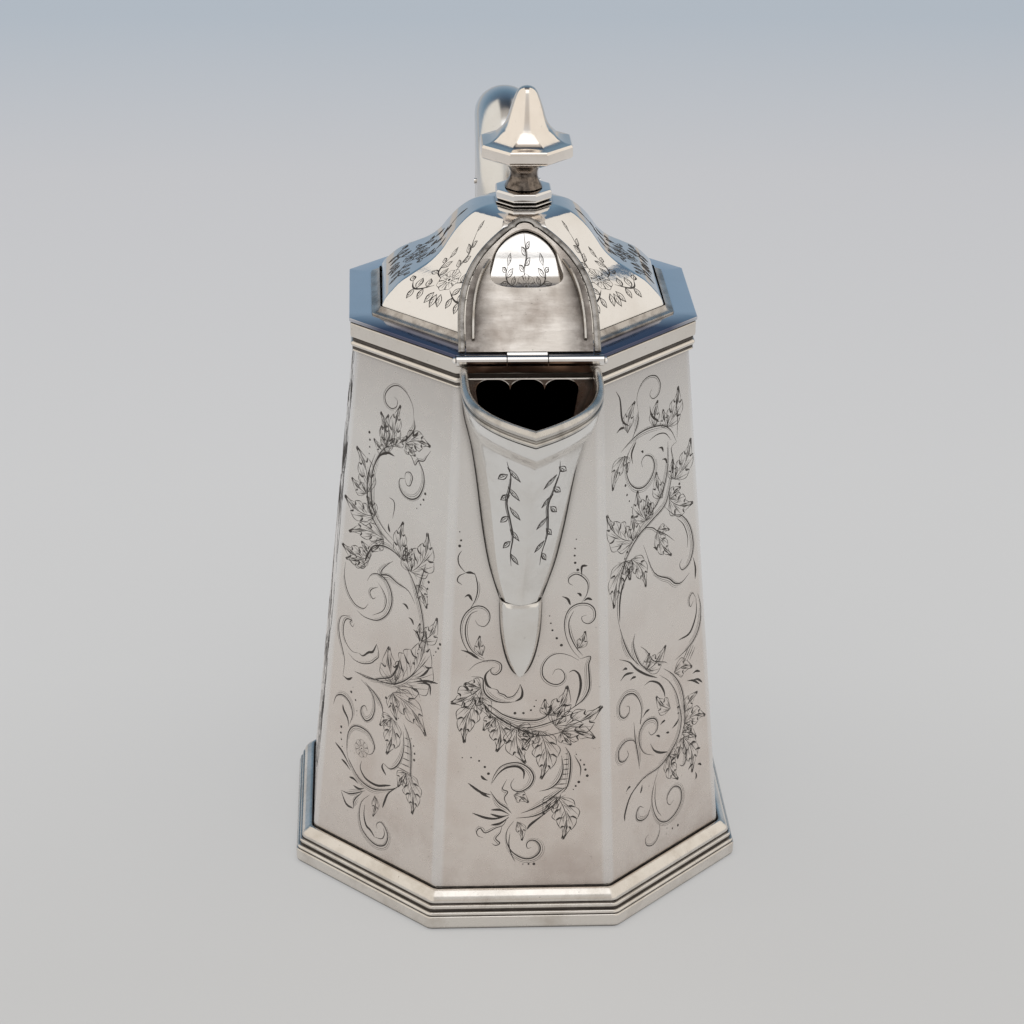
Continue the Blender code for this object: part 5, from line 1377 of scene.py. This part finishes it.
def dark_lines_round_spout():
    """Dark lines on the body along the edges of the spout and of its tongue."""
    sheet = ([], [])
    for side in (-1, 1):
        line = []
        for share in (0.0, 0.3, 0.5, 0.7, 0.85, 0.95, 1.0):
            z = DROP_TOP - (DROP_TOP - DROP_TIP + 0.2) * share
            line.append((spout_shift(z) + side * (drop_half_width(share) + 0.15), z))
        stroke(sheet, line, 1.15, 0.7)
        line = []
        for z in (104.5, 110.0, 117.0, 128.0, 140.0, 151.0, 160.0, 166.0):
            line.append((spout_shift(z) + side * (lookup(SPOUT_STATIONS, z, 1) + 0.1), z))
        stroke(sheet, line, 0.9, 0.3)
    lay("spout_dark_lines", sheet, on_body(-90.0))


VINE = """
s 0,46 0.9,41 0.2,35 -0.9,29 0.3,22 1.1,16 0.2,9 0.4,4
"""
VINE_LEAVES = ((44, 1), (41, -1), (36, 1), (33, -1), (28, 1), (24, -1), (19, 1), (14, -1), (9, 1))


def engrave_spout():
    """A leafy vine down each front face of the spout."""
    for name, sign in (("left", -1), ("right", 1)):
        sheet = draw(VINE)
        for height, side in VINE_LEAVES:
            stem = Vector((0.3 * math.sin(height), height))
            tip = stem + Vector((side * (2.6 + 0.03 * height), -3.9))
            pointed_leaf(sheet, stem, tip, 0.15)

        def place(x, v, lift, sign=sign):
            z = 116.0 + 0.97 * v
            share = 0.46 + sign * x / (2.0 + lookup(SPOUT_STATIONS, z, 2)) * 0.9
            return on_spout(z, sign, min(max(share, 0.05), 0.95), lift)

        lay(f"vine_{name}", sheet, place)


def on_spout(z, sign, share, lift):
    """A point of a front face: share runs from the middle ridge to the side ridge."""
    face = body_half(z)
    ridge = lookup(SPOUT_STATIONS, z, 2)
    ridge_y = -(face + lookup(SPOUT_STATIONS, z, 3))
    middle_y = -(face + lookup(SPOUT_STATIONS, z, 4))
    along = 1 - share
    x = ridge * (1 - along) + 0.06 * ridge * math.sin(math.pi * along)
    y = ridge_y + (middle_y - ridge_y) * along
    normal = Vector((middle_y - ridge_y, -ridge)).normalized() * (lift + 0.05)
    dip = lookup(SPOUT_STATIONS, z, 5) * (1 - (x / lookup(SPOUT_STATIONS, z, 1)) ** 2)
    x, y = x - normal.x, y + normal.y
    return Vector((sign * x + spout_lean(y, z), y, z - dip))


# ---------------------------------------------------------------- engraving of the dome

SPRIG = """
f 0,15 4.6,15
s -4,11.5 -8,9 -11,8.6 -13.6,10.6
s -4,14.5 -7.6,16 -9.6,19 -9.4,22
s 4,11.5 8,9 11,8.6 13.6,10.6
s 4,14.5 7.6,16 9.6,19 9.4,22
s 0,17.4 -0.8,21 0.6,25 0,29 -0.6,32
"""
# (stem x, stem z, tip x, tip z): the leaves of one side, which have mirrored partners, and the others
SIDE_LEAVES = (
    (6, 10, 8, 13.5), (7, 9.4, 6.4, 5.6), (9.6, 8.6, 11.4, 12.8), (10.4, 8.6, 10.6, 4.8),
    (13.6, 10.6, 16.4, 12.4), (6, 15.2, 5.4, 18.8), (7.6, 16, 11.4, 16), (9, 18, 6.4, 21.4),
    (9.6, 20, 12.2, 21.6), (9.4, 22, 8.6, 26), (1.6, 9.4, 3, 5.2),
)
MIDDLE_LEAVES = (
    (-0.6, 20, -3.4, 22.4), (-0.2, 22, 2.8, 24.6), (0.5, 25, -2.4, 27.8), (0.4, 27, 3, 29.4),
    (-0.6, 32, -0.4, 36), (0, 9, 0, 4.4),
)


def pointed_leaf(sheet, stem, tip, fullness=0.24):
    stem, tip = Vector(stem), Vector(tip)
    along = tip - stem
    bulge = Vector((-along.y, along.x)) * fullness
    middle = (stem + tip) / 2
    stroke(sheet, [stem, middle + bulge, tip], 0.34)
    stroke(sheet, [stem, middle - bulge, tip], 0.5)
    stroke(sheet, [stem, tip], 0.22)
    for t in (0.35, 0.6):
        foot = stem + along * t
        stroke(sheet, [foot, foot + along * 0.14 - bulge * 0.7], 0.18)


def dome_table():
    """Rows of distance up the dome's profile, half-flat and height."""
    rows, travelled, before = [], 0.0, None
    for point in through(DOME, 4):
        travelled += (point - before).length if before is not None else 0.0
        rows.append((travelled, point.x, point.y))
        before = point
    return rows


def on_dome(degrees, table, start):
    """Places sheet points on a facet of the dome, from a start up its profile."""
    out, across = facing(degrees)

    def place(x, v, lift):
        v = min(max(v + start, 0.2), table[-1][0] - 0.2)
        half, z = lookup(table, v, 1), lookup(table, v, 2)
        slope = Vector([lookup(table, v + 0.1, column) - lookup(table, v - 0.1, column) for column in (1, 2)])
        slope.normalize()
        lift += 0.03
        x *= half / 44.0
        return out * (half + slope.y * lift) + across * x + Vector((0.0, 0.0, z - slope.x * lift))

    return place


def engrave_dome():
    table = dome_table()
    sheet = draw(SPRIG)
    for sign in (-1, 1):
        for x0, z0, x1, z1 in SIDE_LEAVES:
            pointed_leaf(sheet, (sign * x0, z0), (sign * x1, z1))
    for x0, z0, x1, z1 in MIDDLE_LEAVES:
        pointed_leaf(sheet, (x0, z0), (x1, z1))
    for degrees in range(0, 360, 45):
        place = on_dome(degrees, table, 3.0 if degrees == 270 else 1.5)
        lay(f"dome_engraving_{degrees}", sheet, place, "lid")


# ---------------------------------------------------------------- nodes kept from the frame

KEPT = {
    "bottom_plate": MOULDING_SILVER,
    "handle_upper_insulator": IVORY,
    "handle_lower_insulator": IVORY,
    "lid_bezel": INSIDE_SILVER,
    "finial_stud": OXIDE,
    "finial_nut": OXIDE,
    "flap_left_tongue": TONGUE_SILVER,
    "flap_right_tongue": TONGUE_SILVER,
}


def dress_kept_nodes():
    for name, obj in frame["nodes"].items():
        if obj.hide_render:
            continue
        obj.data.materials.clear()
        obj.data.materials.append(KEPT.get(name, BRIGHT_SILVER))
        obj.data.shade_smooth()
        obj.data.set_sharp_from_angle(angle=math.radians(32.0))


# ---------------------------------------------------------------- studio


# Colours of the room from the floor in front (0) over the top (0.5) to the floor behind (1).
WORLD_STOPS = (
    (0.00, (0.50, 0.47, 0.44)), (0.10, (0.56, 0.53, 0.50)), (0.16, (0.60, 0.59, 0.58)),
    (0.27, (0.66, 0.66, 0.66)), (0.29, (1.3, 1.3, 1.3)), (0.47, (1.4, 1.4, 1.4)), (0.50, (0.50, 0.46, 0.42)),
    (0.56, (0.42, 0.39, 0.36)), (0.58, (0.05, 0.06, 0.08)), (0.64, (0.05, 0.07, 0.10)),
    (0.72, (0.10, 0.16, 0.24)), (0.84, (0.17, 0.27, 0.37)), (0.94, (0.30, 0.38, 0.47)),
    (1.00, (0.36, 0.42, 0.48)),
)


def build_world():
    world = bpy.data.worlds.new("studio")
    bpy.context.scene.world = world
    world.use_nodes = True
    tree = world.node_tree
    direction = node(tree, "ShaderNodeSeparateXYZ")
    tree.links.new(node(tree, "ShaderNodeTexCoord").outputs["Generated"], direction.inputs[0])
    front = maths(tree, "MULTIPLY", direction.outputs[1], -1.0)
    angle = maths(tree, "DIVIDE", maths(tree, "ARCTAN2", direction.outputs[2], front), math.pi)
    around = colour_stops(tree, angle, WORLD_STOPS)
    beside = ramp(tree, maths(tree, "ABSOLUTE", direction.outputs[0]), 0.22, 0.30)
    ahead = ramp(tree, direction.outputs[1], 0.548, 0.562, 1.0, 0.0)
    side = maths(tree, "MULTIPLY", beside, ahead)
    sky = mix_colour(tree, side, around, (0.86, 0.82, 0.76))
    background = tree.nodes["Background"]
    tree.links.new(sky, background.inputs[0])
    background.inputs[1].default_value = 1.0


PAPER_NEAR_AND_FAR = (-0.3, 1.02)
PAPER_STOPS = (
    (0.0, (0.57, 0.565, 0.56)), (0.16, (0.575, 0.573, 0.57)), (0.30, (0.61, 0.612, 0.615)),
    (0.43, (0.607, 0.61, 0.618)), (0.74, (0.568, 0.576, 0.602)), (1.0, (0.459, 0.513, 0.578)),
)


def build_floor():
    material = bpy.data.materials.new("paper")
    material.use_nodes = True
    tree = material.node_tree
    shader = tree.nodes["Principled BSDF"]
    shader.inputs["Roughness"].default_value = 0.9
    shader.inputs["Specular IOR Level"].default_value = 0.0
    position = node(tree, "ShaderNodeSeparateXYZ")
    coords = node(tree, "ShaderNodeTexCoord").outputs["Object"]
    tree.links.new(coords, position.inputs[0])
    tones = colour_stops(tree, ramp(tree, position.outputs[1], *PAPER_NEAR_AND_FAR), PAPER_STOPS)
    fine = noise(tree, coords, 30.0)
    colour = mix_colour(tree, maths(tree, "MULTIPLY", fine, 0.03), tones, (0.5, 0.5, 0.5))
    tree.links.new(mix_colour(tree, 1.0, colour, (0.4, 0.4, 0.4), "MULTIPLY"), shader.inputs["Base Color"])
    tree.links.new(colour, shader.inputs["Emission Color"])
    shader.inputs["Emission Strength"].default_value = 0.6
    mesh = bpy.data.meshes.new("paper")
    corners = [(x, y, -0.2 * MM) for x, y in ((-2.5, -2.0), (2.5, -2.0), (2.5, 2.6), (-2.5, 2.6))]
    mesh.from_pydata(corners, [], [(0, 1, 2, 3)])
    mesh.materials.append(material)
    paper = bpy.data.objects.new("paper", mesh)
    bpy.context.scene.collection.objects.link(paper)


def build_lights():
    light = bpy.data.lights.new("softbox", "AREA")
    light.shape = "RECTANGLE"
    light.size, light.size_y = 2.6, 2.2
    light.energy = 9.0
    lamp = bpy.data.objects.new("softbox", light)
    bpy.context.scene.collection.objects.link(lamp)
    lamp.location = (-0.1, -0.1, 1.25)
    lamp.rotation_euler = Vector((-0.05, -0.05, 1.1)).to_track_quat("Z", "Y").to_euler()
    lamp.visible_glossy = False


CAMERA_AZIMUTH, CAMERA_ELEVATION, CAMERA_ROLL = (math.radians(a) for a in (-3.3888, 24.7804, 0.9334))
CAMERA_DISTANCE, CAMERA_SHIFT, CAMERA_AIM_HEIGHT, CAMERA_LENS = 0.8358, -0.0013, 0.1068, 95.18


def build_camera():
    azimuth, elevation, roll = CAMERA_AZIMUTH, CAMERA_ELEVATION, CAMERA_ROLL
    level_back = Vector((math.sin(azimuth), -math.cos(azimuth), 0.0))
    back = level_back * math.cos(elevation) + Vector((0.0, 0.0, math.sin(elevation)))
    level = Vector((math.cos(azimuth), math.sin(azimuth), 0.0))
    upright = back.cross(level)
    right = level * math.cos(roll) + upright * math.sin(roll)
    up = upright * math.cos(roll) - level * math.sin(roll)
    target = level * CAMERA_SHIFT + Vector((0.0, 0.0, CAMERA_AIM_HEIGHT))
    data = bpy.data.cameras.new("camera")
    data.sensor_width = 36.0
    data.lens = CAMERA_LENS
    data.clip_start = 0.01
    camera = bpy.data.objects.new("camera", data)
    bpy.context.scene.collection.objects.link(camera)
    turn = Matrix((right, up, back)).transposed().to_4x4()
    camera.matrix_world = Matrix.Translation(target + back * CAMERA_DISTANCE) @ turn
    bpy.context.scene.camera = camera


BUILD_ORDER = (
    dress_kept_nodes,
    build_foot,
    build_body,
    build_rim,
    build_spout,
    build_drop,
    build_lip,
    build_lid,
    build_finial,
    build_flap,
    build_handle,
    engrave_body,
    build_opening_highlight,
    dark_lines_round_spout,
    stain_at_foot,
    engrave_spout,
    engrave_dome,
    build_world,
    build_floor,
    build_lights,
    build_camera,
)
for build in BUILD_ORDER:
    build()
bpy.context.scene.view_settings.view_transform = "Standard"
